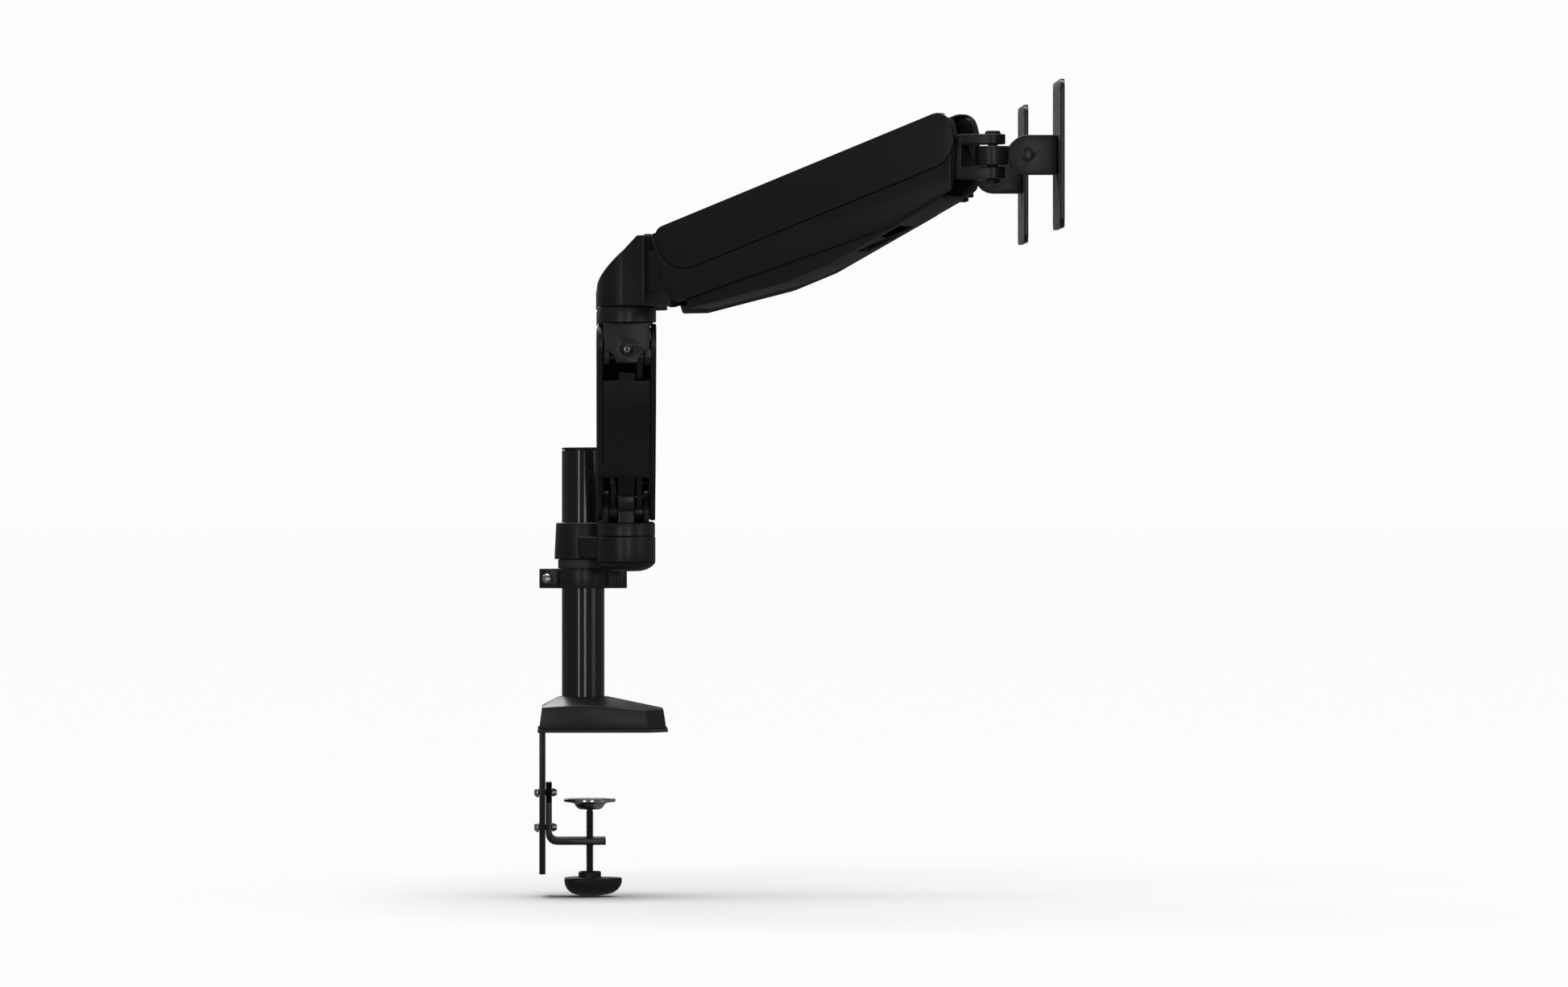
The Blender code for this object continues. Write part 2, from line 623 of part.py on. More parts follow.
def make_glide_bush(ring_axis):
    inner = POLE_RADIUS + GAP
    foot = RING_HEIGHT + GAP
    lip = foot + BUSH_LIP_HEIGHT
    top = lip + GAP + SLEEVE_HEIGHT
    profile = [(inner, top), (inner + BUSH_WALL, top), (inner + BUSH_WALL, lip),
               (inner + BUSH_WALL + BUSH_LIP, lip), (inner + BUSH_WALL + BUSH_LIP, foot), (inner, foot)]
    place("glide_bush", turned(profile, FINE, closed=True), ring_axis, "nylon")


def make_arm_bracket(on, sleeve_floor):
    """A sleeve on the pole with a neck and a hub seat for each arm, cast in one piece."""
    top = SLEEVE_HEIGHT
    hub_low = HUB_BOTTOM - sleeve_floor
    hub_high = HUB_TOP - sleeve_floor
    body = rod(SLEEVE_FOOT_RADIUS, (0, 0, 0), (0, 0, top), FINE, SLEEVE_TOP_RADIUS)
    cuts = [rod(POLE_RADIUS + BUSH_WALL + 2 * GAP, (0, 0, -CUT), (0, 0, top + CUT), FINE)]
    adds = []
    for side in (-1, 1):
        seat = Vector((HUB_FORWARD, side * HUB_SPREAD, 0))
        up = Vector((0, 0, 1))
        neck = hull(rod(NECK_RADIUS, up * NECK_STEP, up * (hub_high - NECK_STEP), SMALL),
                    rod(NECK_RADIUS, seat + up * NECK_STEP, seat + up * (hub_high - NECK_STEP), SMALL))
        hub = rod(HUB_RADIUS, seat + up * hub_low, seat + up * hub_high, ROUND)
        dome = rod(HUB_RADIUS * 0.45, seat + up * (hub_low - HUB_DOME), seat + up * (hub_low + 0.0004), ROUND,
                   HUB_RADIUS * 0.985)
        adds += [neck, hub, dome]
        floor = hub_high - HUB_SHAFT_DEPTH
        cuts.append(rod(HUB_SHAFT_RADIUS + GAP, seat + up * floor, seat + up * (hub_high + CUT), ROUND))
    place("arm_bracket", cut(union(body, *adds), *cuts), on, "cast")


# Arms -----------------------------------------------------------------------
# A link's pieces use its link_frame: X across, Y to the top side, Z along.
# A yoke stays upright, so its Y is up and its Z points outwards.

LINK_INNER = LINK_HALF_WIDTH - LINK_WALL
CHEEK_OUTER = LINK_INNER - 2 * GAP
CHEEK_INNER = CHEEK_OUTER - CHEEK_THICKNESS
TIE_OFFSET = CHEEK_INNER - TIE_SIDE_GAP - TIE_WIDTH / 2     # link's middle to the tie bar's middle
LOWER_WEB = TIE_OFFSET - TIE_WIDTH / 2 - WEB_SIDE_GAP       # half width between the windows
TAIL_PIN_RADIUS = 0.0030


def across(radius, middle, low, high, sides=SMALL):
    """A cylinder on the X axis through middle, a (y, z) pair."""
    return rod(radius, (low, *middle), (high, *middle), sides)


def upright(radius, low, high, z=0.0, sides=ROUND, end_radius=None):
    return rod(radius, (0, low, z), (0, high, z), sides, end_radius)


def yoke_pins(tie):
    return [across(PIN_RADIUS, (0, 0), -PIN_REACH, PIN_REACH),
            across(TIE_PIN_RADIUS, tie, -CHEEK_INNER - CUT, CHEEK_INNER + CUT, TINY)]


def cheeks(tie, foot_low, foot_high, main=0.0080, small=0.0070):
    """Two side plates that hold the pins; the foot corners are (y, z) pairs."""
    plates = []
    for low, high in ((-CHEEK_OUTER, -CHEEK_INNER), (CHEEK_INNER, CHEEK_OUTER)):
        foot = block((low, *foot_low), (high, *foot_high))
        plates.append(hull(across(main, (0, 0), low, high), across(small, tie, low, high), foot))
    return plates


def disc_yoke(tie, near, far):
    """A disc from height near to height far, with the web, side plates and pins of a link's pivot."""
    rise = 1.0 if near > 0.0 else -1.0
    foot = sorted((near - rise * CUT, near + rise * CUT))
    web = sorted((near + rise * CUT, rise * DRUM_RADIUS / 2))
    return union(upright(HUB_RADIUS - GAP, *sorted((near, far))),
                 across(DRUM_RADIUS, (0, 0), -LOWER_WEB, LOWER_WEB, ROUND),
                 block((-LOWER_WEB, web[0], -DRUM_RADIUS * 0.8), (LOWER_WEB, web[1], DRUM_RADIUS * 0.8)),
                 *cheeks(tie, (foot[0], -0.0115), (foot[1], 0.0115)), *yoke_pins(tie))


def tie_bar(length):
    low = TIE_OFFSET - TIE_WIDTH / 2
    high = TIE_OFFSET + TIE_WIDTH / 2
    bar = block((low + 0.001, -TIE_BAR_HALF_HEIGHT, 0), (high - 0.001, TIE_BAR_HALF_HEIGHT, length))
    ends = [(0, 0), (0, length)]
    eyes = [across(TIE_EYE_RADIUS, end, low, high) for end in ends]
    holes = [across(TIE_PIN_RADIUS + GAP, end, low - CUT, high + CUT, TINY) for end in ends]
    return cut(union(bar, *eyes), *holes)


def gas_spring(names, link, rod_axis, x, radius, start, length, play):
    """Cylinder on the link and rod on its own slide; Z runs from the rod's eye to the cylinder's tail."""
    body = turned([(0, length), (radius * 0.6, length), (radius, length - 0.006), (radius, start),
                   (ROD_RADIUS + GAP, start), (ROD_RADIUS + GAP, start + 0.046), (0, start + 0.046)], SMALL)
    body.data.transform(Matrix.Translation((x, 0, 0)))
    width = ROD_EYE_WIDTH / 2
    tail = across(TAIL_PIN_RADIUS + ROD_EYE_WALL, (0, length), x - width, x + width)
    hole = across(TAIL_PIN_RADIUS + GAP, (0, length), x - width - 0.01, x + width + 0.01)
    cylinder = cut(union(body, tail), hole)
    cylinder.data.transform(link["frame"].inverted() @ rod_axis["frame"])
    place(names[0], cylinder, link, "gloss")

    eye_bore = TIE_PIN_RADIUS + play
    eye = across(eye_bore + ROD_EYE_WALL, (0, 0), x - width, x + width, SMALL)
    shaft = rod(ROD_RADIUS, (x, 0, eye_bore + 0.001), (x, 0, start + 0.030), TINY)
    bore = across(eye_bore, (0, 0), x - width - CUT, x + width + CUT, SMALL)
    place(names[1], cut(union(eye, shaft), bore), rod_axis, "steel")


def spring_axis(name, link, yoke, tie, tail):
    """Axis from the yoke's tie pin to the tail pin inside the link."""
    eye = link["frame"].inverted() @ yoke["frame"] @ Vector((0, *tie))
    rise = tail[0] - eye.y
    run = tail[1] - eye.z
    turn = Matrix.Rotation(-math.atan2(rise, run), 4, "X")
    frame = link["frame"] @ Matrix.Translation(eye) @ turn
    return axis(name, frame, link, link["mirror"]), math.hypot(rise, run)


def pin_seats(length):
    reach = PIN_REACH + GAP
    return [across(PIN_RADIUS + GAP, (0, z), -reach, reach) for z in (0.0, length)]


def lower_outline():
    far = LOWER_LENGTH
    end = LOWER_END
    corner = end - 0.0005
    return [(-end, -end, corner), (LOWER_BELLY_START, -end, 0.0), (LOWER_BELLY_FULL, -LOWER_BELLY, 0.020),
            (far - LOWER_BELLY_FULL, -LOWER_BELLY, 0.020), (far - LOWER_BELLY_START, -end, 0.0),
            (far + end, -end, corner), (far + end, end, corner), (far - LOWER_BELLY_START, end, 0.0),
            (far - LOWER_BELLY_FULL, LOWER_BACK, 0.020), (LOWER_BELLY_FULL, LOWER_BACK, 0.020),
            (LOWER_BELLY_START, end, 0.0), (-end, end, corner)]


def make_lower_link(prefix, link, tail):
    far = LOWER_LENGTH
    body = slab(rounded(lower_outline(), 5), -LINK_HALF_WIDTH, LINK_HALF_WIDTH, LINK_VIEW)
    channel = block((-LINK_INNER, -0.06, -0.06), (LINK_INNER, LOWER_BACK - 0.003, far + 0.06))
    mouths = [block((-LINK_INNER, -0.05, -0.05), (LINK_INNER, 0.05, LOWER_END)),
              block((-LINK_INNER, -0.05, far - LOWER_END), (LINK_INNER, 0.05, far + 0.05))]
    tail_pin = across(TAIL_PIN_RADIUS, tail, -LINK_INNER - CUT, LINK_INNER + CUT, TINY)
    open_body = cut(body, channel, *mouths, *pin_seats(far))
    place(f"{prefix}_lower_link", union(open_body, tail_pin), link, "cast")

    wide = LINK_INNER - GAP
    start = DRUM_RADIUS + 0.0017
    skin = slab(rounded(lower_outline(), 4), -wide, wide, LINK_VIEW)
    hollow = slab(rounded(inset(lower_outline(), LOWER_COVER_WALL), 4), -0.05, 0.05, LINK_VIEW)
    belly = block((-0.05, -0.05, start), (0.05, -LOWER_END + LOWER_COVER_WALL + CUT, far - start))
    windows = []
    for low, high in ((0.0, LOWER_WINDOW), (far - UPPER_WINDOW, far)):
        windows.append(block((-0.05, -0.05, low), (-LOWER_WEB, 0.0, high)))
        windows.append(block((LOWER_WEB, -0.05, low), (0.05, 0.0, high)))
    place(f"{prefix}_lower_cover", cut(overlap(skin, belly), hollow, *windows), link, "plastic")


def upper_outline():
    front = UPPER_LENGTH + UPPER_FRONT
    return [(-UPPER_REAR, -UPPER_BOTTOM_REAR, 0.009), (0.0540, -0.0352, 0.060), (0.1430, -0.0398, 0.060),
            (0.1890, -UPPER_BOTTOM_DEEP, 0.060), (UPPER_LENGTH + UPPER_CHIN, -UPPER_BOTTOM_FRONT, 0.006),
            (front, UPPER_CHIN_TOP, 0.020), (front, UPPER_TOP, 0.010), (-UPPER_REAR, UPPER_TOP, 0.009)]


def top_cover_outline():
    rear = -UPPER_REAR + 0.004
    front = UPPER_LENGTH + UPPER_FRONT + GAP + UPPER_SKIN
    top = UPPER_TOP + GAP + UPPER_SKIN
    return [(rear, -UPPER_SEAM, 0.026), (front - 0.003, -UPPER_SEAM, 0.022), (front, top, 0.012),
            (rear, top, 0.009)]


def belly_outline(top):
    front = UPPER_LENGTH - 0.002
    return [(-0.0010, top, 0.0), (-0.0010, -UPPER_BELLY_REAR, 0.003), (0.0880, -UPPER_BELLY_DEEP, 0.060),
            (0.1330, -UPPER_BELLY_DEEP + 0.0005, 0.060), (front, -UPPER_BELLY_FRONT, 0.003), (front, top, 0.0)]


def make_upper_link(prefix, link, tail):
    far = UPPER_LENGTH
    thin = LINK_HALF_WIDTH - UPPER_SKIN - GAP
    seam = slab(rounded(inset(top_cover_outline(), -GAP), 5), -0.05, 0.05, LINK_VIEW)
    band = cut(slab(rounded(upper_outline()), -LINK_HALF_WIDTH, LINK_HALF_WIDTH, LINK_VIEW), seam)
    core = slab(rounded(inset(upper_outline(), 0.0001)), -thin, thin, LINK_VIEW)
    channel = block((-LINK_INNER, -0.08, -0.06), (LINK_INNER, UPPER_TOP - 0.0025, far + 0.06))
    nose = block((-LINK_INNER, 0.0, far - 0.004), (LINK_INNER, 0.06, far + 0.06))
    tail_pin = across(TAIL_PIN_RADIUS, tail, -LINK_INNER - CUT, LINK_INNER + CUT, TINY)
    shell = cut(union(core, band), channel, nose, *pin_seats(far))
    place(f"{prefix}_upper_link", union(shell, tail_pin), link, "cast")

    roof = UPPER_TOP + GAP
    outer = slab(rounded(top_cover_outline(), 5), -LINK_HALF_WIDTH, LINK_HALF_WIDTH, LINK_VIEW)
    inner = block((UPPER_SKIN - LINK_HALF_WIDTH, -0.05, -0.05),
                  (LINK_HALF_WIDTH - UPPER_SKIN, roof, far + UPPER_FRONT + GAP))
    notch = block((-NOSE_NOTCH, -0.05, far - 0.004), (NOSE_NOTCH, 0.05, far + 0.05))
    place(f"{prefix}_top_cover", cut(outer, inner, notch), link, "cover")

    wide = LINK_INNER - GAP
    tray = slab(rounded(belly_outline(-0.0325)), -wide, wide, LINK_VIEW)
    inside = [(u, v, r) if r else (u, v + 0.02, 0.0)
              for u, v, r in inset(belly_outline(-0.0325), UPPER_COVER_WALL)]
    hollow = slab(rounded(inside), UPPER_COVER_WALL - wide, wide - UPPER_COVER_WALL, LINK_VIEW)
    window = block((-0.012, -0.08, far - 0.069), (0.012, -0.03, far - 0.049))
    slot = block((-0.008, -0.08, far - 0.092), (0.008, -0.03, far - 0.083))
    place(f"{prefix}_cable_cover", cut(tray, hollow, window, slot), link, "plastic")


def make_elbow(prefix, elbow, base, tie_low, tie_high, hub_low):
    disc_top = ELBOW_DISC_GAP + ELBOW_DISC_HEIGHT
    shaft = upright(ELBOW_SHAFT_RADIUS, disc_top - CUT, disc_top + ELBOW_SHAFT_HEIGHT)
    place(f"{prefix}_elbow_yoke", union(disc_yoke(tie_low, ELBOW_DISC_GAP, disc_top), shaft), elbow, "cast")

    hub_high = hub_low + ELBOW_HUB_HEIGHT
    hub = upright(HUB_RADIUS, hub_low, hub_high, -ELBOW_NECK)
    flat = HUB_RADIUS * 0.93
    front = HUB_RADIUS - ELBOW_NECK
    bridge = block((-flat, hub_low, -ELBOW_NECK), (flat, hub_high, front))
    rear = -ELBOW_NECK - HUB_RADIUS - 0.010
    ahead = front + 0.030
    foot = hub_low + ELBOW_SLOPE_FOOT
    rise = math.tan(ELBOW_SLOPE)
    slope = [(rear, foot - 0.010 * rise), (ahead, foot + (ahead - rear - 0.010) * rise),
             (rear, foot + (ahead - rear) * rise)]
    wedge = slab(slope, -0.05, 0.05, LINK_VIEW)
    bore = upright(ELBOW_SHAFT_RADIUS + GAP, hub_low - CUT, hub_low + ELBOW_SHAFT_HEIGHT + GAP,
                   -ELBOW_NECK)
    hub = cut(union(hub, bridge), wedge, bore)
    inside = CHEEK_OUTER - GAP
    neck = block((-inside, -0.0235, front - 0.002), (inside, 0.0075, front + 0.004))
    sides = cheeks(tie_high, (-0.024, front - 0.001), (0.008, front + 0.003), 0.0090, 0.0080)
    yoke = union(hub, neck, *sides, *yoke_pins(tie_high))
    yoke.data.transform(Matrix.Translation((0, UPPER_PIVOT_RISE, ELBOW_NECK)))
    place(f"{prefix}_upper_yoke", yoke, base, "cast")


def make_front_yoke(prefix, front, tie):
    tip = CLEVIS_REACH
    wide = NOSE_NOTCH - 0.0006
    low = -CLEVIS_BOTTOM
    high = CLEVIS_TOP
    inside = CHEEK_OUTER - GAP
    bridge = block((-inside, -0.0185, 0.0120), (inside, 0.0100, 0.0170))
    face = block((-wide, low + GAP, 0.0135), (wide, high - GAP, CLEVIS_BLOCK))
    tabs = []
    for bottom, top in ((low, low + TAB_BOTTOM_THICKNESS), (high - TAB_TOP_THICKNESS, high)):
        root = block((-CLEVIS_HALF_WIDTH, bottom, CLEVIS_BLOCK - CUT),
                     (CLEVIS_HALF_WIDTH, top, CLEVIS_BLOCK + 0.002))
        tabs.append(hull(root, upright(CLEVIS_TIP_RADIUS, bottom, top, tip, ROUND)))
    sides = cheeks(tie, (-0.0180, 0.0125), (0.0095, 0.0155), 0.0090, 0.0080)
    bolt_hole = upright(HEAD_BOLT_RADIUS + GAP, low - CUT, high + CUT, tip, SMALL)
    body = cut(union(face, bridge, *tabs, *sides, *yoke_pins(tie)), bolt_hole)
    place(f"{prefix}_front_yoke", body, front, "cast")

    head = upright(HEAD_BOLT_HEAD, high + GAP, high + GAP + HEAD_BOLT_RISE, tip, SMALL, HEAD_BOLT_HEAD * 0.85)
    shank = upright(HEAD_BOLT_RADIUS, low - 0.004, high + CUT, tip, SMALL)
    nut = upright(HEAD_BOLT_HEAD, low - GAP - 0.003, low - GAP, tip, 6)
    place(f"{prefix}_head_bolt", union(head, shank, nut), front, "steel")


def make_head(prefix, head, tilt, vesa):
    low = -CLEVIS_BOTTOM + TAB_BOTTOM_THICKNESS + TONGUE_PLAY
    high = CLEVIS_TOP - TAB_TOP_THICKNESS - TONGUE_PLAY
    tongue = upright(TONGUE_RADIUS, low, high, 0.0, ROUND)
    neck = block((-TILT_BARREL_HALF + 0.0007, low, 0.0), (TILT_BARREL_HALF - 0.0007, high, TILT_REACH))
    barrel = across(TILT_BARREL_RADIUS, (0, TILT_REACH), -TILT_BARREL_HALF, TILT_BARREL_HALF, SMALL)
    swivel_bore = upright(HEAD_BOLT_RADIUS + GAP, low - CUT, high + CUT, 0.0, SMALL)
    tilt_bore = across(TILT_BOLT_RADIUS + GAP, (0, TILT_REACH), -0.02, 0.02, TINY)
    place(f"{prefix}_head_block", cut(union(tongue, neck, barrel), swivel_bore, tilt_bore), head, "cast")

    inner = TILT_BARREL_HALF + GAP
    outer = inner + KNUCKLE_CHEEK
    length = KNUCKLE_LENGTH
    profile = [(-KNUCKLE_RADIUS, -KNUCKLE_RADIUS, KNUCKLE_RADIUS - 0.0002), (length, -KNUCKLE_RADIUS, 0.0),
               (length, KNUCKLE_RADIUS, 0.0), (-KNUCKLE_RADIUS, KNUCKLE_RADIUS, KNUCKLE_RADIUS - 0.0002)]
    body = slab(rounded(profile, 5), -outer, outer, LINK_VIEW)
    mouth = block((-inner, -0.03, -0.03), (inner, 0.03, TILT_BARREL_RADIUS + 0.0027))
    socket = rod(VESA_SPIGOT_RADIUS + GAP, (0, 0, length - VESA_SPIGOT - 2 * GAP), (0, 0, length + CUT), ROUND)
    bolt_hole = across(TILT_BOLT_RADIUS + GAP, (0, 0), -0.03, 0.03, TINY)
    place(f"{prefix}_tilt_knuckle", cut(body, mouth, socket, bolt_hole), tilt, "cast")

    heads = [across(0.0052, (0, 0), *sorted((end * (outer + GAP), end * (outer + GAP + 0.0024))), TINY)
             for end in (-1, 1)]
    bolt = across(TILT_BOLT_RADIUS, (0, 0), -outer - CUT, outer + CUT, TINY)
    place(f"{prefix}_tilt_bolt", union(bolt, *heads), tilt, "steel")

    back = length + GAP
    half = max(VESA_SPACINGS) / 2 + VESA_MARGIN
    square = [(-half, -half, VESA_CORNER), (half, -half, VESA_CORNER), (half, half, VESA_CORNER),
              (-half, half, VESA_CORNER)]
    plate = slab(rounded(square), back, back + VESA_THICKNESS, PLAN)
    spigot = rod(VESA_SPIGOT_RADIUS, (0, 0, back - VESA_SPIGOT), (0, 0, back + CUT), ROUND)
    holes = []
    for spacing in VESA_SPACINGS:
        for x in (-spacing / 2, spacing / 2):
            for y in (-spacing / 2, spacing / 2):
                holes.append(rod(VESA_HOLE_RADIUS, (x, y, back - CUT), (x, y, back + VESA_THICKNESS + CUT), TINY))
    place(f"{prefix}_vesa_plate", cut(union(plate, spigot), *holes), vesa, "steel")


def make_arm(prefix, side, bracket):
    """The left arm stands at -Y; the right one is its mirror image."""
    mirror = side > 0
    outward = side * math.pi / 2
    splay = side * UPPER_SPLAY

    def named(name, frame, parent):
        return axis(f"{prefix}_{name}_axis", frame, parent, mirror)

    hub_point = Vector((HUB_FORWARD, side * HUB_SPREAD, LOWER_PIVOT_HEIGHT))
    hub = named("hub", link_frame(hub_point, outward), bracket)
    lower = named("lower_link", link_frame(hub_point, outward, LOWER_PITCH), hub)
    elbow_point = lower["frame"] @ Vector((0, 0, LOWER_LENGTH))
    elbow = named("elbow", link_frame(elbow_point, outward), lower)
    rise = Vector((0, 0, UPPER_PIVOT_RISE))
    level = Vector((math.cos(splay), math.sin(splay), 0))
    shoulder = elbow_point + rise + level * ELBOW_NECK
    base = named("upper_yoke", link_frame(elbow_point, splay), elbow)
    at_shoulder = {"frame": link_frame(shoulder, splay)}
    upper = named("upper_link", link_frame(shoulder, splay, UPPER_PITCH), base)
    front_point = upper["frame"] @ Vector((0, 0, UPPER_LENGTH))
    front = named("front_yoke", link_frame(front_point, splay), upper)
    head_point = front_point + level * CLEVIS_REACH
    head = named("head", link_frame(head_point, 0.0), front)
    tilt_point = head_point + Vector((TILT_REACH, 0, 0))
    tilt = named("tilt", link_frame(tilt_point, 0.0), head)
    vesa = named("vesa", tilt["frame"], tilt)

    lean = LOWER_TIE_LEAN
    lower_tie = (-LOWER_TIE_ARM * math.cos(lean), LOWER_TIE_ARM * math.sin(lean))
    upper_tie = (-UPPER_TIE_ARM, 0.0)
    disc_low = HUB_TOP + GAP - LOWER_PIVOT_HEIGHT
    shaft_low = HUB_TOP - HUB_SHAFT_DEPTH + GAP - LOWER_PIVOT_HEIGHT
    shaft = upright(HUB_SHAFT_RADIUS, shaft_low, disc_low + CUT, sides=ROUND)
    place(f"{prefix}_lower_yoke", union(disc_yoke(lower_tie, LOWER_DISC_TOP, disc_low), shaft), hub, "cast")

    lower_tail = (0.0060, LOWER_LENGTH - 0.045)
    make_lower_link(prefix, lower, lower_tail)
    turn = link_frame((0, 0, 0), outward, LOWER_PITCH)
    tie_frame = Matrix.Translation(hub["frame"] @ Vector((0, *lower_tie))) @ turn
    place(f"{prefix}_lower_tie", tie_bar(LOWER_LENGTH), named("lower_tie", tie_frame, hub), "steel")
    slide, reach = spring_axis(f"{prefix}_lower_rod_axis", lower, hub, lower_tie, lower_tail)
    gas_spring((f"{prefix}_lower_cylinder", f"{prefix}_lower_rod"), lower, slide, -TIE_OFFSET,
               LOWER_CYLINDER_RADIUS, 0.0280, reach, LOWER_EYE_PLAY)

    hub_low = ELBOW_DISC_GAP + ELBOW_DISC_HEIGHT + GAP - UPPER_PIVOT_RISE
    make_elbow(prefix, elbow, base, lower_tie, upper_tie, hub_low)

    upper_tail = (0.0080, UPPER_LENGTH - 0.040)
    make_upper_link(prefix, upper, upper_tail)
    turn = link_frame((0, 0, 0), splay, UPPER_PITCH)
    tie_frame = Matrix.Translation(at_shoulder["frame"] @ Vector((0, *upper_tie))) @ turn
    place(f"{prefix}_upper_tie", tie_bar(UPPER_LENGTH), named("upper_tie", tie_frame, base), "steel")
    slide, reach = spring_axis(f"{prefix}_upper_rod_axis", upper, at_shoulder, upper_tie, upper_tail)
    gas_spring((f"{prefix}_upper_cylinder", f"{prefix}_upper_rod"), upper, slide, -TIE_OFFSET + 0.002,
               UPPER_CYLINDER_RADIUS, 0.0300, reach, UPPER_EYE_PLAY)

    make_front_yoke(prefix, front, upper_tie)
    make_head(prefix, head, tilt, vesa)


def main():
    root = axis("monitor_arm_origin", Matrix.Identity(4))
    make_clamp(root)
    make_clamp_screw(root)
    make_pole(root)
    ring = axis("stop_ring_axis", Matrix.Translation((0, 0, RING_BOTTOM)), root)
    make_stop_ring(ring)
    make_glide_bush(ring)
    sleeve_floor = RING_BOTTOM + RING_HEIGHT + BUSH_LIP_HEIGHT + 2 * GAP
    bracket = axis("arm_bracket_axis", Matrix.Translation((0, 0, sleeve_floor)), ring)
    make_arm_bracket(bracket, sleeve_floor)
    make_arm("left", -1, bracket)
    make_arm("right", 1, bracket)


main()
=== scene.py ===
import json
import math
import bpy
from mathutils import Matrix, Vector


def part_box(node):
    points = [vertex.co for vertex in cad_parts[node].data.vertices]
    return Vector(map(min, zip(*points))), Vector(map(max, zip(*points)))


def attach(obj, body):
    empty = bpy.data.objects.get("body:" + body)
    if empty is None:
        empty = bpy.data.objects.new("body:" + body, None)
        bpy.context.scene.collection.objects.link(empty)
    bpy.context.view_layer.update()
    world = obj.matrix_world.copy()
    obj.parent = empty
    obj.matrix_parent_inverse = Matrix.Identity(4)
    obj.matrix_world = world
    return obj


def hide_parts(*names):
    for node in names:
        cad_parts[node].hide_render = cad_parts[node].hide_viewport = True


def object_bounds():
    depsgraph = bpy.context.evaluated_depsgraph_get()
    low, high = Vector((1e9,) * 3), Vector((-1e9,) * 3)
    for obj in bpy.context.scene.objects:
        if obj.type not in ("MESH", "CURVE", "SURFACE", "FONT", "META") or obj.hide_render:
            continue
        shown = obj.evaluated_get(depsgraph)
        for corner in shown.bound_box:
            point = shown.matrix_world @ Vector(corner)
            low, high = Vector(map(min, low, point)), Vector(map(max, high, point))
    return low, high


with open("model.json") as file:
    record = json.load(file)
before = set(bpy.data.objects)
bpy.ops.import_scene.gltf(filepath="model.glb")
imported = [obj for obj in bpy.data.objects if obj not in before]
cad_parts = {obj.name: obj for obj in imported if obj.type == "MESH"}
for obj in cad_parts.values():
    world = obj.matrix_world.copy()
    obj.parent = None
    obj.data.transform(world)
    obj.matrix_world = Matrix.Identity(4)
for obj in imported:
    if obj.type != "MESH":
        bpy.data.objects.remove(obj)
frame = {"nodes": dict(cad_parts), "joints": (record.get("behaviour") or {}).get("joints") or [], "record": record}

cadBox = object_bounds()
bpy.ops.object.select_all(action="DESELECT")
bodyOf = {node: body for body, members in frame["record"]["behaviour"]["bodies"].items() for node in members}
jointNamed = {joint["name"]: joint for joint in frame["joints"]}
mm = 0.001
arms = ("left", "right")
print("frame loaded:", len(frame["nodes"]), "nodes")


# Finishes. Each is a Principled shader fed by the shared groups below.

def newGroup(name, inputs, outputs):
    group = bpy.data.node_groups.new(name, "ShaderNodeTree")
    for label, kind, value in inputs:
        socket = group.interface.new_socket(label, in_out="INPUT", socket_type=kind)
        if value is not None:
            socket.default_value = value
    for label, kind in outputs:
        group.interface.new_socket(label, in_out="OUTPUT", socket_type=kind)
    start = group.nodes.new("NodeGroupInput")
    end = group.nodes.new("NodeGroupOutput")
    return group, start, end


def addMath(tree, operation, first, second, clamp=False):
    node = tree.nodes.new("ShaderNodeMath")
    node.operation = operation
    node.use_clamp = clamp
    for socket, value in zip(node.inputs, (first, second)):
        if isinstance(value, (int, float)):
            socket.default_value = value
        else:
            tree.links.new(value, socket)
    return node.outputs[0]


def addNoise(tree, vector, scale, detail, roughness=0.5):
    noise = tree.nodes.new("ShaderNodeTexNoise")
    noise.inputs["Detail"].default_value = detail
    noise.inputs["Roughness"].default_value = roughness
    tree.links.new(vector, noise.inputs["Vector"])
    if isinstance(scale, (int, float)):
        noise.inputs["Scale"].default_value = scale
    else:
        tree.links.new(scale, noise.inputs["Scale"])
    return noise.outputs["Fac"]


def makeGrainGroup():
    group, start, end = newGroup(
        "powderGrain",
        [("Vector", "NodeSocketVector", None), ("Grain", "NodeSocketFloat", 2500.0),
         ("Peel", "NodeSocketFloat", 0.3)],
        [("Height", "NodeSocketFloat")])
    fine = addNoise(group, start.outputs["Vector"], start.outputs["Grain"], 2.0)
    broad = addMath(group, "MULTIPLY", start.outputs["Grain"], 0.16)
    cells = group.nodes.new("ShaderNodeTexVoronoi")
    cells.feature = "SMOOTH_F1"
    group.links.new(start.outputs["Vector"], cells.inputs["Vector"])
    group.links.new(broad, cells.inputs["Scale"])
    peel = addMath(group, "MULTIPLY", cells.outputs["Distance"], start.outputs["Peel"])
    group.links.new(addMath(group, "ADD", fine, peel), end.inputs["Height"])
    return group


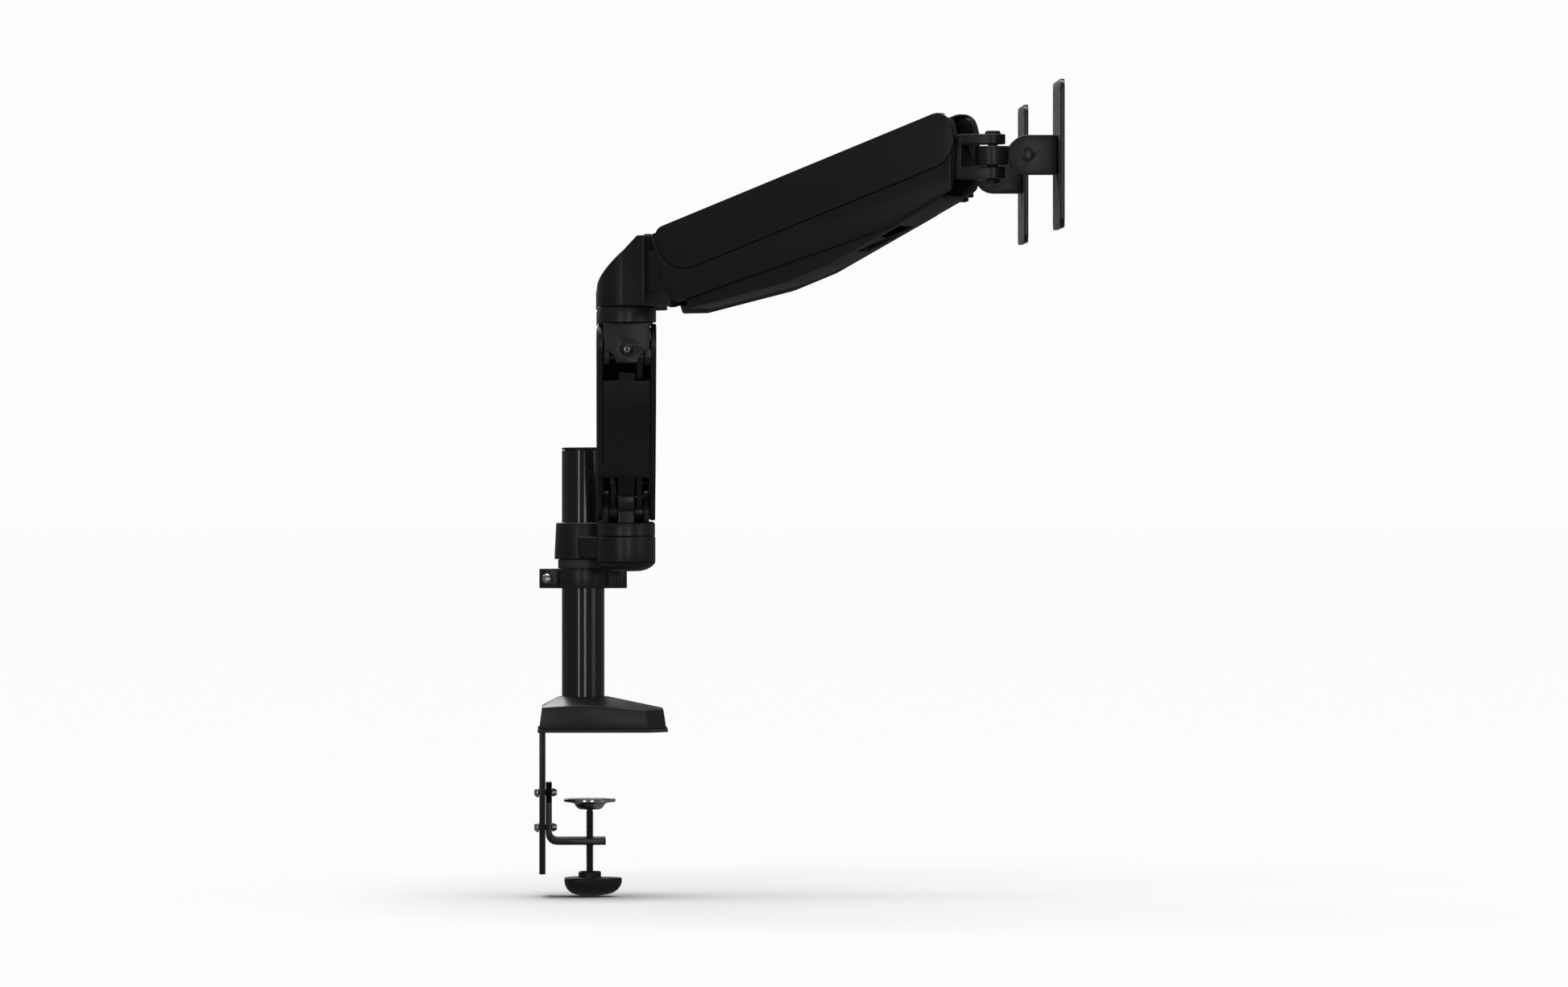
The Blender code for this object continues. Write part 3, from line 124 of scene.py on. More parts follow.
def makeHandledAndSheenGroup():
    group, start, end = newGroup(
        "handledAndSheenSurface",
        [("Vector", "NodeSocketVector", None), ("Color", "NodeSocketColor", (0.02, 0.02, 0.02, 1.0)),
         ("Dust", "NodeSocketColor", (0.2, 0.2, 0.2, 1.0)), ("Dust Amount", "NodeSocketFloat", 0.04),
         ("Roughness", "NodeSocketFloat", 0.4), ("Spread", "NodeSocketFloat", 0.12),
         ("Edge Shine", "NodeSocketFloat", 0.1)],
        [("Color", "NodeSocketColor"), ("Roughness", "NodeSocketFloat")])
    broad = addNoise(group, start.outputs["Vector"], 14.0, 5.0, 0.6)
    smear = addNoise(group, start.outputs["Vector"], 90.0, 4.0, 0.65)
    specks = addNoise(group, start.outputs["Vector"], 900.0, 2.0)
    # Painted edge sheen: convex edges found by pointiness get a lighter colour, mixed toward the dust colour,
    # standing in for the light they catch. The same mask lowers the roughness, which is real edge polish.
    geometry = group.nodes.new("ShaderNodeNewGeometry")
    edge = group.nodes.new("ShaderNodeMapRange")
    edge.inputs["From Min"].default_value = 0.515
    edge.inputs["From Max"].default_value = 0.62
    group.links.new(geometry.outputs["Pointiness"], edge.inputs["Value"])
    edgePolishAndSheen = addMath(group, "MULTIPLY", edge.outputs["Result"], start.outputs["Edge Shine"])

    patch = addMath(group, "MULTIPLY", broad, specks)
    dust = addMath(group, "MULTIPLY", addMath(group, "MULTIPLY", patch, 4.0), start.outputs["Dust Amount"])
    # The colour mix factor is real dust plus the painted edge sheen.
    dustAndEdgeSheen = addMath(group, "ADD", dust, addMath(group, "MULTIPLY", edgePolishAndSheen, 0.35), clamp=True)
    mix = group.nodes.new("ShaderNodeMix")
    mix.data_type = "RGBA"
    group.links.new(dustAndEdgeSheen, mix.inputs["Factor"])
    group.links.new(start.outputs["Color"], mix.inputs["A"])
    group.links.new(start.outputs["Dust"], mix.inputs["B"])
    group.links.new(mix.outputs["Result"], end.inputs["Color"])

    uneven = addMath(group, "SUBTRACT", addMath(group, "ADD", broad, smear), 1.0)
    swing = addMath(group, "MULTIPLY", uneven, start.outputs["Spread"])
    rough = addMath(group, "ADD", start.outputs["Roughness"], swing)
    shine = addMath(group, "SUBTRACT", rough, addMath(group, "MULTIPLY", edgePolishAndSheen, 0.8), clamp=True)
    group.links.new(shine, end.inputs["Roughness"])
    return group


grainGroup = makeGrainGroup()
handledAndSheenGroup = makeHandledAndSheenGroup()

# The edge value sets the painted edge sheen in the colour and the real edge polish in the roughness.
finishes = {
    "satinCover": {"color": (0.0098, 0.0102, 0.0090), "roughness": 0.40, "metallic": 0.0, "grain": 2600.0,
                   "depth": 0.05, "peel": 0.25, "spread": 0.10, "dust": 0.012, "edge": 0.10, "coat": 0.0},
    "blackPlastic": {"color": (0.0070, 0.0070, 0.0070), "roughness": 0.47, "metallic": 0.0, "grain": 1500.0,
                     "depth": 0.11, "peel": 0.10, "spread": 0.10, "dust": 0.014, "edge": 0.08, "coat": 0.0},
    "castPaint": {"color": (0.0098, 0.0102, 0.0092), "roughness": 0.43, "metallic": 0.15, "grain": 1900.0,
                  "depth": 0.10, "peel": 0.55, "spread": 0.12, "dust": 0.014, "edge": 0.22, "coat": 0.05},
    "steelPaint": {"color": (0.0120, 0.0124, 0.0118), "roughness": 0.38, "metallic": 0.20, "grain": 2100.0,
                   "depth": 0.08, "peel": 0.60, "spread": 0.12, "dust": 0.012, "edge": 0.26, "coat": 0.10},
    "glossPaint": {"color": (0.0060, 0.0062, 0.0062), "roughness": 0.20, "metallic": 0.10, "grain": 900.0,
                   "depth": 0.02, "peel": 0.80, "spread": 0.06, "dust": 0.015, "edge": 0.10, "coat": 0.40},
    "nylon": {"color": (0.045, 0.045, 0.046), "roughness": 0.52, "metallic": 0.0, "grain": 1200.0,
              "depth": 0.08, "peel": 0.20, "spread": 0.10, "dust": 0.04, "edge": 0.05, "coat": 0.0},
    "foamRubber": {"color": (0.030, 0.030, 0.030), "roughness": 0.82, "metallic": 0.0, "grain": 700.0,
                   "depth": 0.45, "peel": 0.90, "spread": 0.10, "dust": 0.10, "edge": 0.0, "coat": 0.0},
    "zinc": {"color": (0.60, 0.60, 0.585), "roughness": 0.27, "metallic": 1.0, "grain": 1700.0,
             "depth": 0.05, "peel": 0.15, "spread": 0.16, "dust": 0.03, "edge": 0.15, "coat": 0.0},
}


def makeFinish(name, values):
    material = bpy.data.materials.new(name)
    material.use_nodes = True
    tree = material.node_tree
    shader = tree.nodes["Principled BSDF"]
    shader.inputs["Metallic"].default_value = values["metallic"]
    shader.inputs["Coat Weight"].default_value = values["coat"]
    shader.inputs["Coat Roughness"].default_value = 0.12
    place = tree.nodes.new("ShaderNodeTexCoord").outputs["Object"]

    handledAndSheen = tree.nodes.new("ShaderNodeGroup")
    handledAndSheen.node_tree = handledAndSheenGroup
    handledAndSheen.inputs["Color"].default_value = (*values["color"], 1.0)
    dust = (0.30, 0.30, 0.29, 1.0) if values["metallic"] < 1.0 else (0.85, 0.85, 0.83, 1.0)
    handledAndSheen.inputs["Dust"].default_value = dust
    handledAndSheen.inputs["Dust Amount"].default_value = values["dust"]
    handledAndSheen.inputs["Roughness"].default_value = values["roughness"]
    handledAndSheen.inputs["Spread"].default_value = values["spread"]
    # Edge Shine: painted edge sheen in the colour, real edge polish in the roughness.
    handledAndSheen.inputs["Edge Shine"].default_value = values["edge"]
    tree.links.new(place, handledAndSheen.inputs["Vector"])
    tree.links.new(handledAndSheen.outputs["Color"], shader.inputs["Base Color"])
    tree.links.new(handledAndSheen.outputs["Roughness"], shader.inputs["Roughness"])

    grain = tree.nodes.new("ShaderNodeGroup")
    grain.node_tree = grainGroup
    grain.inputs["Grain"].default_value = values["grain"]
    grain.inputs["Peel"].default_value = values["peel"]
    bump = tree.nodes.new("ShaderNodeBump")
    bump.inputs["Strength"].default_value = values["depth"] * 2.0
    bump.inputs["Distance"].default_value = 0.1 * mm
    tree.links.new(place, grain.inputs["Vector"])
    tree.links.new(grain.outputs["Height"], bump.inputs["Height"])
    tree.links.new(bump.outputs["Normal"], shader.inputs["Normal"])
    return material


finish = {name: makeFinish(name, values) for name, values in finishes.items()}
finishOfSlot = {"satin_cover": "satinCover", "black_plastic": "blackPlastic", "gloss_paint": "glossPaint",
                "painted_steel": "steelPaint", "cast_paint": "castPaint", "zinc": "zinc", "nylon": "nylon",
                "foam_rubber": "foamRubber"}
slotOfNode = {part["node"]: part["material_slot"] for part in frame["record"]["subparts"]}
print("finishes made:", len(finish))


# Modelling steps

def activate(piece):
    bpy.ops.object.select_all(action="DESELECT")
    piece.select_set(True)
    bpy.context.view_layer.objects.active = piece


def editAll(piece):
    activate(piece)
    bpy.ops.object.mode_set(mode="EDIT")
    bpy.ops.mesh.select_all(action="SELECT")


def leaveEdit():
    bpy.ops.object.mode_set(mode="OBJECT")


def addRod(radius, start, end, sides=64, endRadius=None):
    start, end = Vector(start), Vector(end)
    along = end - start
    turn = along.to_track_quat("Z", "Y").to_euler()
    endRadius = radius if endRadius is None else endRadius
    bpy.ops.mesh.primitive_cone_add(vertices=sides, radius1=radius, radius2=endRadius, depth=along.length,
                                    location=(start + end) / 2, rotation=turn)
    piece = bpy.context.active_object
    bpy.ops.object.transform_apply(location=True, rotation=True, scale=True)
    return piece


def addBlock(low, high):
    low, high = Vector(low), Vector(high)
    bpy.ops.mesh.primitive_cube_add(size=1.0, location=(low + high) / 2, scale=high - low)
    piece = bpy.context.active_object
    bpy.ops.object.transform_apply(location=True, rotation=True, scale=True)
    return piece


def turnPiece(profile, centre=(0, 0, 0), sides=64, ring=False):
    # Rings are pulled up from a circle, one per (radius, height) step.
    radius, height = profile[0]
    bpy.ops.mesh.primitive_circle_add(vertices=sides, radius=radius, fill_type="NOTHING",
                                      location=Vector(centre) + Vector((0, 0, height)))
    piece = bpy.context.active_object
    bpy.ops.object.transform_apply(location=True, rotation=True, scale=True)
    editAll(piece)
    for (before, low), (after, high) in zip(profile, profile[1:] + ([profile[0]] if ring else [])):
        bpy.ops.mesh.extrude_edges_move(TRANSFORM_OT_translate={"value": (0, 0, high - low)})
        bpy.ops.transform.resize(value=(after / before, after / before, 1.0),
                                 center_override=(centre[0], centre[1], centre[2] + high))
    bpy.ops.mesh.select_all(action="SELECT")
    if ring:
        bpy.ops.mesh.remove_doubles(threshold=0.00001)
    else:
        bpy.ops.mesh.fill_holes(sides=0)
    bpy.ops.mesh.select_all(action="SELECT")
    bpy.ops.mesh.normals_make_consistent(inside=False)
    leaveEdit()
    return piece


def combine(piece, tool, operation="UNION"):
    activate(piece)
    modifier = piece.modifiers.new("combine", "BOOLEAN")
    modifier.operation = operation
    modifier.object = tool
    bpy.ops.object.modifier_apply(modifier=modifier.name)
    bpy.data.objects.remove(tool, do_unlink=True)
    return piece


def joinAll(piece, *tools):
    for tool in tools:
        combine(piece, tool)
    return piece


def cutAway(piece, *tools):
    for tool in tools:
        combine(piece, tool, "DIFFERENCE")
    return piece


def hullOf(*pieces):
    activate(pieces[0])
    for piece in pieces[1:]:
        piece.select_set(True)
    bpy.ops.object.join()
    piece = bpy.context.active_object
    editAll(piece)
    bpy.ops.mesh.convex_hull()
    leaveEdit()
    return piece


def bisectAway(piece, point, normal):
    # Everything on the normal's side goes, and the cut is closed.
    editAll(piece)
    bpy.ops.mesh.bisect(plane_co=point, plane_no=normal, clear_outer=True, use_fill=True)
    bpy.ops.mesh.select_all(action="SELECT")
    bpy.ops.mesh.normals_make_consistent(inside=False)
    leaveEdit()
    return piece


def roundEdges(piece, width, segments=3, angle=28):
    activate(piece)
    bevel = piece.modifiers.new("edges", "BEVEL")
    bevel.width = width
    bevel.segments = segments
    bevel.limit_method = "ANGLE"
    bevel.angle_limit = math.radians(angle)
    bevel.use_clamp_overlap = False
    bevel.miter_outer = "MITER_ARC"
    bpy.ops.object.modifier_apply(modifier=bevel.name)
    return piece


def cadCopy(node):
    piece = frame["nodes"][node].copy()
    piece.data = piece.data.copy()
    for key in list(piece.keys()):
        del piece[key]
    piece.parent = None
    piece.matrix_world = Matrix.Identity(4)
    piece.hide_viewport = False
    piece.hide_render = False
    bpy.context.scene.collection.objects.link(piece)
    piece.hide_set(False)
    editAll(piece)
    bpy.ops.mesh.customdata_custom_splitnormals_clear()
    bpy.ops.mesh.remove_doubles(threshold=0.000002)
    bpy.ops.mesh.dissolve_limited(angle_limit=math.radians(0.6))
    bpy.ops.mesh.normals_make_consistent(inside=False)
    leaveEdit()
    return piece


def moveTo(piece, matrix):
    piece.matrix_world = matrix
    activate(piece)
    bpy.ops.object.transform_apply(location=True, rotation=True, scale=True)
    if matrix.determinant() < 0.0:
        editAll(piece)
        bpy.ops.mesh.normals_make_consistent(inside=False)
        leaveEdit()
    return piece


def finishPiece(piece, name, body, look, nodes=(), angle=32):
    activate(piece)
    bpy.ops.object.transform_apply(location=True, rotation=True, scale=True)
    bpy.ops.object.shade_smooth_by_angle(angle=math.radians(angle), keep_sharp_edges=False)
    piece.name = name
    piece.data.name = name
    piece.data.materials.clear()
    piece.data.materials.append(finish[look])
    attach(piece, body)
    if nodes:
        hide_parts(*nodes)
    return piece


def dressCad(node, width, segments=3, angle=32):
    piece = roundEdges(cadCopy(node), width, segments)
    return finishPiece(piece, node + "_shape", bodyOf[node], finishOfSlot[slotOfNode[node]], [node], angle)


def middleOf(node):
    low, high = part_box(node)
    return (low + high) / 2


def pivot(joint):
    return Vector(jointNamed[joint]["pos_m"])


# Desk clamp

def makeBase():
    dressCad("base_cover", 0.9 * mm, 3)
    dressCad("base_pad", 0.5 * mm, 2)
    dressCad("clamp_plate", 0.5 * mm, 2)
    dressCad("clamp_bracket", 0.6 * mm, 3)


bolt = {"recess": 0.42, "recessDepth": 0.5, "sides": 48, "rings": 6, "edge": 0.12, "crown": 78,
        "shank": 0.58}


def makeDomedHead(radius, height):
    # Domed head on Z, its seat at height 0, with a hexagon socket.
    edge, crown = bolt["edge"], math.radians(bolt["crown"])
    profile = [(radius * 0.94, 0.0), (radius, height * edge / 2)]
    for step in range(1, bolt["rings"] + 1):
        turn = crown * step / bolt["rings"]
        rise = edge + (1.0 - edge) * math.sin(turn) / math.sin(crown)
        profile.append((radius * math.cos(turn), height * rise))
    head = turnPiece(profile, sides=bolt["sides"])
    reach = radius * bolt["recess"]
    socket = addRod(reach, (0, 0, height * (1.0 - bolt["recessDepth"])), (0, 0, height * 1.2), 6)
    return cutAway(head, socket)


def aim(point, direction):
    turn = Vector(direction).to_track_quat("Z", "Y").to_matrix().to_4x4()
    return Matrix.Translation(point) @ turn


def makeBracketBolts():
    for label in ("upper", "lower"):
        low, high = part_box(f"bracket_bolt_{label}")
        radius = (high.y - low.y) / 2
        middle = (low.z + high.z) / 2
        headHeight = 4.2 * mm
        head = makeDomedHead(radius, headHeight)
        shank = addRod(radius * bolt["shank"], (0, 0, -(high.x - low.x) + headHeight), (0, 0, 0.3 * mm), 32)
        piece = joinAll(head, shank)
        moveTo(piece, aim((low.x + headHeight, 0, middle), (-1, 0, 0)))
        roundEdges(piece, 0.15 * mm, 2)
        finishPiece(piece, f"bracket_bolt_{label}_shape", bodyOf[f"bracket_bolt_{label}"], "zinc",
                    [f"bracket_bolt_{label}"])
        low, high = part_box(f"bracket_nut_{label}")
        nut = addRod((high.z - low.z) / 2, (0, 0, 0), (0, 0, high.x - low.x), 6)
        cap = addRod((high.z - low.z) * 0.46, (0, 0, -0.1 * mm), (0, 0, (high.x - low.x) * 1.15), 48,
                     (high.z - low.z) * 0.30)
        combine(nut, cap, "INTERSECT")
        moveTo(nut, aim((low.x, 0, middle), (1, 0, 0)))
        cutAway(nut, addRod(radius * 0.63, (low.x - 0.001, 0, middle), (high.x + 0.001, 0, middle), 32))
        roundEdges(nut, 0.15 * mm, 2)
        finishPiece(nut, f"bracket_nut_{label}_shape", bodyOf[f"bracket_nut_{label}"], "zinc",
                    [f"bracket_nut_{label}"])


pad = {"rim": 2.5}


def makePressurePad():
    low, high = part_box("pressure_pad")
    centre = middleOf("pressure_pad")
    top = high.z - centre.z
    reach = (high.x - low.x) / 2
    floor = low.z - centre.z
    rim = top - pad["rim"] * mm
    profile = [(0.9 * mm, top), (reach * 0.86, top), (reach * 0.875, top - 0.4 * mm), (reach * 0.90, top),
               (reach - 0.6 * mm, top), (reach, top - 0.6 * mm), (reach, rim + 0.5 * mm),
               (reach - 0.5 * mm, rim), (reach * 0.70, rim - 0.7 * mm), (reach * 0.60, rim - 1.6 * mm),
               (reach * 0.53, floor + 2.2 * mm), (reach * 0.46, floor + 0.7 * mm), (reach * 0.38, floor),
               (4.6 * mm, floor), (3.6 * mm, floor + 0.5 * mm)]
    piece = turnPiece(profile, centre, 96)
    finishPiece(piece, "pressure_pad_shape", "pressure_pad", "zinc", ["pressure_pad"], 24)


screw = {"pitch": 1.5, "depth": 0.75, "plain": 6.0}


def makeClampScrew():
    low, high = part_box("clamp_screw")
    centre = middleOf("clamp_screw")
    radius = (high.x - low.x) / 2
    root = radius - screw["depth"] * mm
    pitch = screw["pitch"] * mm
    top = high.z - centre.z
    floor = low.z - centre.z
    profile = [(root, floor), (root, floor + 0.2 * mm)]
    level = floor + 0.5 * mm
    while level + pitch < top - screw["plain"] * mm:
        profile += [(root, level + 0.15 * pitch), (radius, level + 0.42 * pitch),
                    (radius, level + 0.58 * pitch), (root, level + 0.85 * pitch)]
        level += pitch
    profile += [(root, level + 0.3 * mm), (root, top - 0.6 * mm), (root - 0.6 * mm, top)]
    piece = turnPiece(profile, centre, 40)
    finishPiece(piece, "clamp_screw_shape", "clamp_screw", "steelPaint", ["clamp_screw"], 30)


knob = {"lobes": 3, "lobe": 2.85, "flutes": 24, "flute": 0.5, "collar": 9.3, "collarHeight": 5.2, "bore": 3.9}


def makeKnob():
    low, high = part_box("clamp_knob")
    centre = Vector((middleOf("clamp_screw").x, middleOf("clamp_screw").y, 0))
    reach = high.x - centre.x - knob["lobe"] * mm
    height = high.z - low.z - knob["collarHeight"] * mm
    top = high.z - knob["collarHeight"] * mm
    levels = ((0.30, 0.0), (0.90, 0.0), (0.965, 0.012), (0.995, 0.05), (1.0, 0.11), (0.995, 0.25),
              (0.975, 0.38), (0.94, 0.50), (0.89, 0.62), (0.81, 0.74), (0.70, 0.84), (0.55, 0.92),
              (0.36, 0.975), (0.15, 1.0))
    body = turnPiece([(reach * scale, top - height * depth) for scale, depth in levels], centre, 144)
    for vertex in body.data.vertices:
        offset = Vector((vertex.co.x - centre.x, vertex.co.y - centre.y))
        if offset.length < reach * 0.2:
            continue
        around = math.atan2(offset.y, offset.x)
        grip = max(0.0, 1.0 - abs(vertex.co.z - (top - height * 0.22)) / (height * 0.34))
        flute = knob["flute"] * mm * grip * (0.5 - 0.5 * math.cos(knob["flutes"] * around))
        lobe = knob["lobe"] * mm * math.cos(knob["lobes"] * around) * offset.length / reach
        scale = 1.0 + (lobe - flute) / offset.length
        vertex.co.x = centre.x + offset.x * scale
        vertex.co.y = centre.y + offset.y * scale
    bore = knob["bore"] * mm
    collar = turnPiece([(bore, top - 0.5 * mm), (knob["collar"] * mm, top - 0.5 * mm),
                        (knob["collar"] * mm, high.z - 1.0 * mm), (knob["collar"] * mm - 1.0 * mm, high.z),
                        (bore + 0.5 * mm, high.z), (bore, high.z - 0.5 * mm)], centre, 72, ring=True)
    finishPiece(body, "knob_grip", "clamp_screw", "blackPlastic", ["clamp_knob"], 30)
    finishPiece(collar, "knob_collar", "clamp_screw", "blackPlastic", ["clamp_knob"], 30)


# Pole, stop ring, bush and bracket

def makePole():
    low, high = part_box("pole")
    radius = (high.x - low.x) / 2
    wall = 2.0 * mm
    profile = [(radius - wall, high.z), (radius - 0.3 * mm, high.z), (radius, high.z - 0.3 * mm),
               (radius, low.z + 0.5 * mm), (radius - 0.5 * mm, low.z), (radius - wall, low.z)]
    piece = turnPiece(profile, (0, 0, 0), 96, ring=True)
    finishPiece(piece, "pole_tube", "stand", "glossPaint", ["pole"], 30)
    low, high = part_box("pole_cap")
    profile = [(radius - wall - 0.3 * mm, low.z), (radius - wall - 0.3 * mm, high.z - 2.0 * mm),
               (radius - 0.1 * mm, high.z - 2.0 * mm), (radius, high.z - 1.8 * mm),
               (radius, high.z - 0.9 * mm),
               (radius - 0.25 * mm, high.z - 0.35 * mm), (radius - 0.9 * mm, high.z), (radius * 0.72, high.z),
               (radius * 0.70, high.z - 0.3 * mm), (radius * 0.68, high.z), (radius * 0.1, high.z)]
    cap = turnPiece(profile, (0, 0, 0), 96)
    finishPiece(cap, "pole_cap_shape", "stand", "blackPlastic", ["pole_cap"], 30)


def makeStopRing():
    low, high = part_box("stop_ring_left")
    ringOuter = -low.y
    inner = (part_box("pole")[1].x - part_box("pole")[0].x) / 2 + 0.3 * mm
    earReach, earDepth = high.x, 8.5 * mm
    for label, side in (("left", -1), ("right", 1)):
        ring = addRod(ringOuter, (0, 0, low.z), (0, 0, high.z), 96)
        for end in (-1, 1):
            first = (end * (ringOuter - 2 * mm), 0.0, low.z)
            last = (end * earReach, side * earDepth, high.z)
            ear = addBlock([min(pair) for pair in zip(first, last)], [max(pair) for pair in zip(first, last)])
            roundCorner = addRod(earDepth * 0.98, (end * (earReach - earDepth), 0, low.z - 0.001),
                                 (end * (earReach - earDepth), 0, high.z + 0.001), 64)
            near, far = sorted((end * (ringOuter - 3 * mm), end * (earReach - earDepth)))
            keep = addBlock((near, -0.05, low.z - 0.001), (far, 0.05, high.z + 0.001))
            combine(ear, joinAll(roundCorner, keep), "INTERSECT")
            combine(ring, ear)
        cutAway(ring, addRod(inner, (0, 0, low.z - 0.01), (0, 0, high.z + 0.01), 96))
        bisectAway(ring, (0, side * 0.3 * mm, 0), (0, -side, 0))
        roundEdges(ring, 0.6 * mm, 2)
        node = f"stop_ring_{label}"
        finishPiece(ring, node + "_shape", "stop_ring", "castPaint", [node])
    for label, end in (("rear", -1), ("front", 1)):
        low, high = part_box(f"stop_bolt_{label}")
        radius = (high.x - low.x) / 2
        headHeight = 3.3 * mm
        seat = low.y + headHeight if end < 0 else high.y - headHeight
        head = makeDomedHead(radius, headHeight)
        shank = addRod(radius * bolt["shank"], (0, 0, headHeight - (high.y - low.y)), (0, 0, 0.3 * mm), 32)
        piece = joinAll(head, shank)
        moveTo(piece, aim(((low.x + high.x) / 2, seat, (low.z + high.z) / 2), (0, end, 0)))
        roundEdges(piece, 0.15 * mm, 2)
        finishPiece(piece, f"stop_bolt_{label}_shape", "stop_ring", "zinc", [f"stop_bolt_{label}"])


def makeBush():
    low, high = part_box("glide_bush")
    outer = high.x
    inner = (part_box("pole")[1].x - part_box("pole")[0].x) / 2 + 0.3 * mm
    lip = low.z + 7.3 * mm
    profile = [(inner, high.z), (outer - 1.2 * mm, high.z), (outer - 1.2 * mm, lip), (outer - 0.3 * mm, lip),
               (outer, lip - 0.3 * mm), (outer, low.z + 0.3 * mm), (outer - 0.3 * mm, low.z), (inner, low.z)]
    finishPiece(turnPiece(profile, (0, 0, 0), 96, ring=True), "glide_bush_shape", "stop_ring", "nylon",
                ["glide_bush"], 30)


bracket = {"sleeveTop": 22.2, "sleeveFoot": 23.6, "neck": 17.5, "neckStep": 1.2, "hub": 24.0, "dome": 7.3,
           "hubFoot": 139.0, "hubTop": 160.3, "bore": 19.7}


def makeArmBracket():
    low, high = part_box("arm_bracket")
    floor = bracket["hubFoot"] * mm
    hubTop = bracket["hubTop"] * mm
    sleeveFoot = high.z - 30.0 * mm
    sleeve = addRod(bracket["sleeveFoot"] * mm, (0, 0, sleeveFoot), (0, 0, high.z), 128,
                    bracket["sleeveTop"] * mm)
    step = bracket["neckStep"] * mm
    for arm in arms:
        seat = pivot(f"{arm}_hub_swivel")
        x, y = seat.x, seat.y
        width = bracket["neck"] * mm
        neck = hullOf(addRod(width, (0, 0, sleeveFoot + step), (0, 0, hubTop - step), 64),
                      addRod(width, (x, y, sleeveFoot + step), (x, y, hubTop - step), 64))
        radius = bracket["hub"] * mm
        hub = addRod(radius, (x, y, floor), (x, y, hubTop), 96)
        dome = turnPiece([(radius * 0.30, floor - bracket["dome"] * mm), (radius * 0.52, floor - 7.0 * mm),
                          (radius * 0.72, floor - 5.6 * mm), (radius * 0.88, floor - 3.4 * mm),
                          (radius * 0.975, floor - 1.0 * mm), (radius * 0.99, floor + 1.0 * mm)],
                         (x, y, 0), 96)
        joinAll(sleeve, neck, hub, dome)
    cutAway(sleeve, addRod(bracket["bore"] * mm, (0, 0, low.z - 0.01), (0, 0, high.z + 0.01), 96))
    roundEdges(sleeve, 0.9 * mm, 3, 34)
    finishPiece(sleeve, "arm_bracket_shape", "arm_bracket", "castPaint", ["arm_bracket"], 34)


# Arms. Local frames: X across the link, Y to its top, Z along it.

def levelFrame(arm, joint, reach):
    at = pivot(f"{arm}_{joint}")
    away = pivot(f"{arm}_{reach}") - at
    away.z = 0.0
    return frameAlong(at, away.normalized())


def frameAlong(at, along):
    across = Vector((0, 0, 1)).cross(along).normalized()
    top = along.cross(across)
    matrix = Matrix((across, top, along)).transposed().to_4x4()
    matrix.translation = at
    return matrix


disc = {"radius": 23.7, "lowerTop": -18.5, "lowerFoot": -29.4, "elbowFoot": 17.8, "elbowTop": 30.5}


def makeDisc(foot, top):
    radius = disc["radius"] * mm
    profile = [(radius * 0.3, foot), (radius - 0.4 * mm, foot), (radius, foot + 0.4 * mm),
               (radius, top - 1.0 * mm),
               (radius - 0.3 * mm, top - 0.4 * mm), (radius - 1.0 * mm, top), (radius * 0.3, top)]
    return turnPiece(profile, (0, 0, 0), 96)


def makeYokes(arm):
    at = pivot(f"{arm}_lower_lift")
    top = disc["lowerTop"] * mm
    body = bisectAway(cadCopy(f"{arm}_lower_yoke"), (0, 0, at.z + top), (0, 0, -1))
    roundEdges(body, 0.5 * mm, 3)
    node = f"{arm}_lower_yoke"
    finishPiece(body, node + "_shape", bodyOf[node], "castPaint", [node])
    plate = moveTo(makeDisc(disc["lowerFoot"] * mm, top), Matrix.Translation(at))
    finishPiece(plate, f"{arm}_lower_disc", bodyOf[f"{arm}_lower_yoke"], "castPaint", [f"{arm}_lower_yoke"])

    at = pivot(f"{arm}_elbow_level")
    body = bisectAway(cadCopy(f"{arm}_elbow_yoke"), (0, 0, at.z + disc["elbowFoot"] * mm), (0, 0, 1))
    roundEdges(body, 0.5 * mm, 3)
    node = f"{arm}_elbow_yoke"
    finishPiece(body, node + "_shape", bodyOf[node], "castPaint", [node])
    plate = moveTo(makeDisc(disc["elbowFoot"] * mm, disc["elbowTop"] * mm), Matrix.Translation(at))
    finishPiece(plate, f"{arm}_elbow_disc", bodyOf[f"{arm}_elbow_yoke"], "castPaint", [f"{arm}_elbow_yoke"])


elbow = {"neck": 55.0, "height": 57.0, "radius": 24.0, "flat": 0.93, "slopeFoot": 14.5, "slope": 43.0,
         "reach": 4.6, "edge": 1.2}


def makeElbowHub(arm):
    node = f"{arm}_upper_yoke"
    dustAndEdgeSheen = pivot(f"{arm}_upper_lift")
    frameHere = levelFrame(arm, "upper_lift", "front_level")
    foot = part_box(node)[0].z - dustAndEdgeSheen.z
    top = foot + elbow["height"] * mm
    radius = elbow["radius"] * mm
    back = -elbow["neck"] * mm
    front = back + radius + elbow["reach"] * mm
    flat = radius * elbow["flat"]
    hub = addRod(radius, (0, foot, back), (0, top, back), 128)
    hub = joinAll(hub, addBlock((-flat, foot, back), (flat, top, front)))
    slope = math.radians(elbow["slope"])
    corner = (0, foot + elbow["slopeFoot"] * mm, back - radius)
    bisectAway(hub, corner, (0, math.cos(slope), -math.sin(slope)))
    roundEdges(hub, elbow["edge"] * mm, 4, 34)
    moveTo(hub, frameHere)
    finishPiece(hub, f"{arm}_elbow_hub", bodyOf[node], "castPaint", [node], 34)
    along = Vector(frameHere.col[2][:3])
    rest = bisectAway(cadCopy(node), frameHere @ Vector((0, 0, front - 1.5 * mm)), -along)
    roundEdges(rest, 0.3 * mm, 2, 40)
    finishPiece(rest, f"{arm}_upper_yoke_shape", bodyOf[node], "castPaint", [node])


flare = {"half": 18.6, "top": 17.6, "foot": -3.6, "front": 16.2, "back": -13.0, "plate": 13.2,
         "plateFoot": -15.0, "window": 12.0,
         "windowX": 20.5, "windowY": -16.5, "screwY": -3.9, "recess": 5.0, "recessDepth": 2.2}


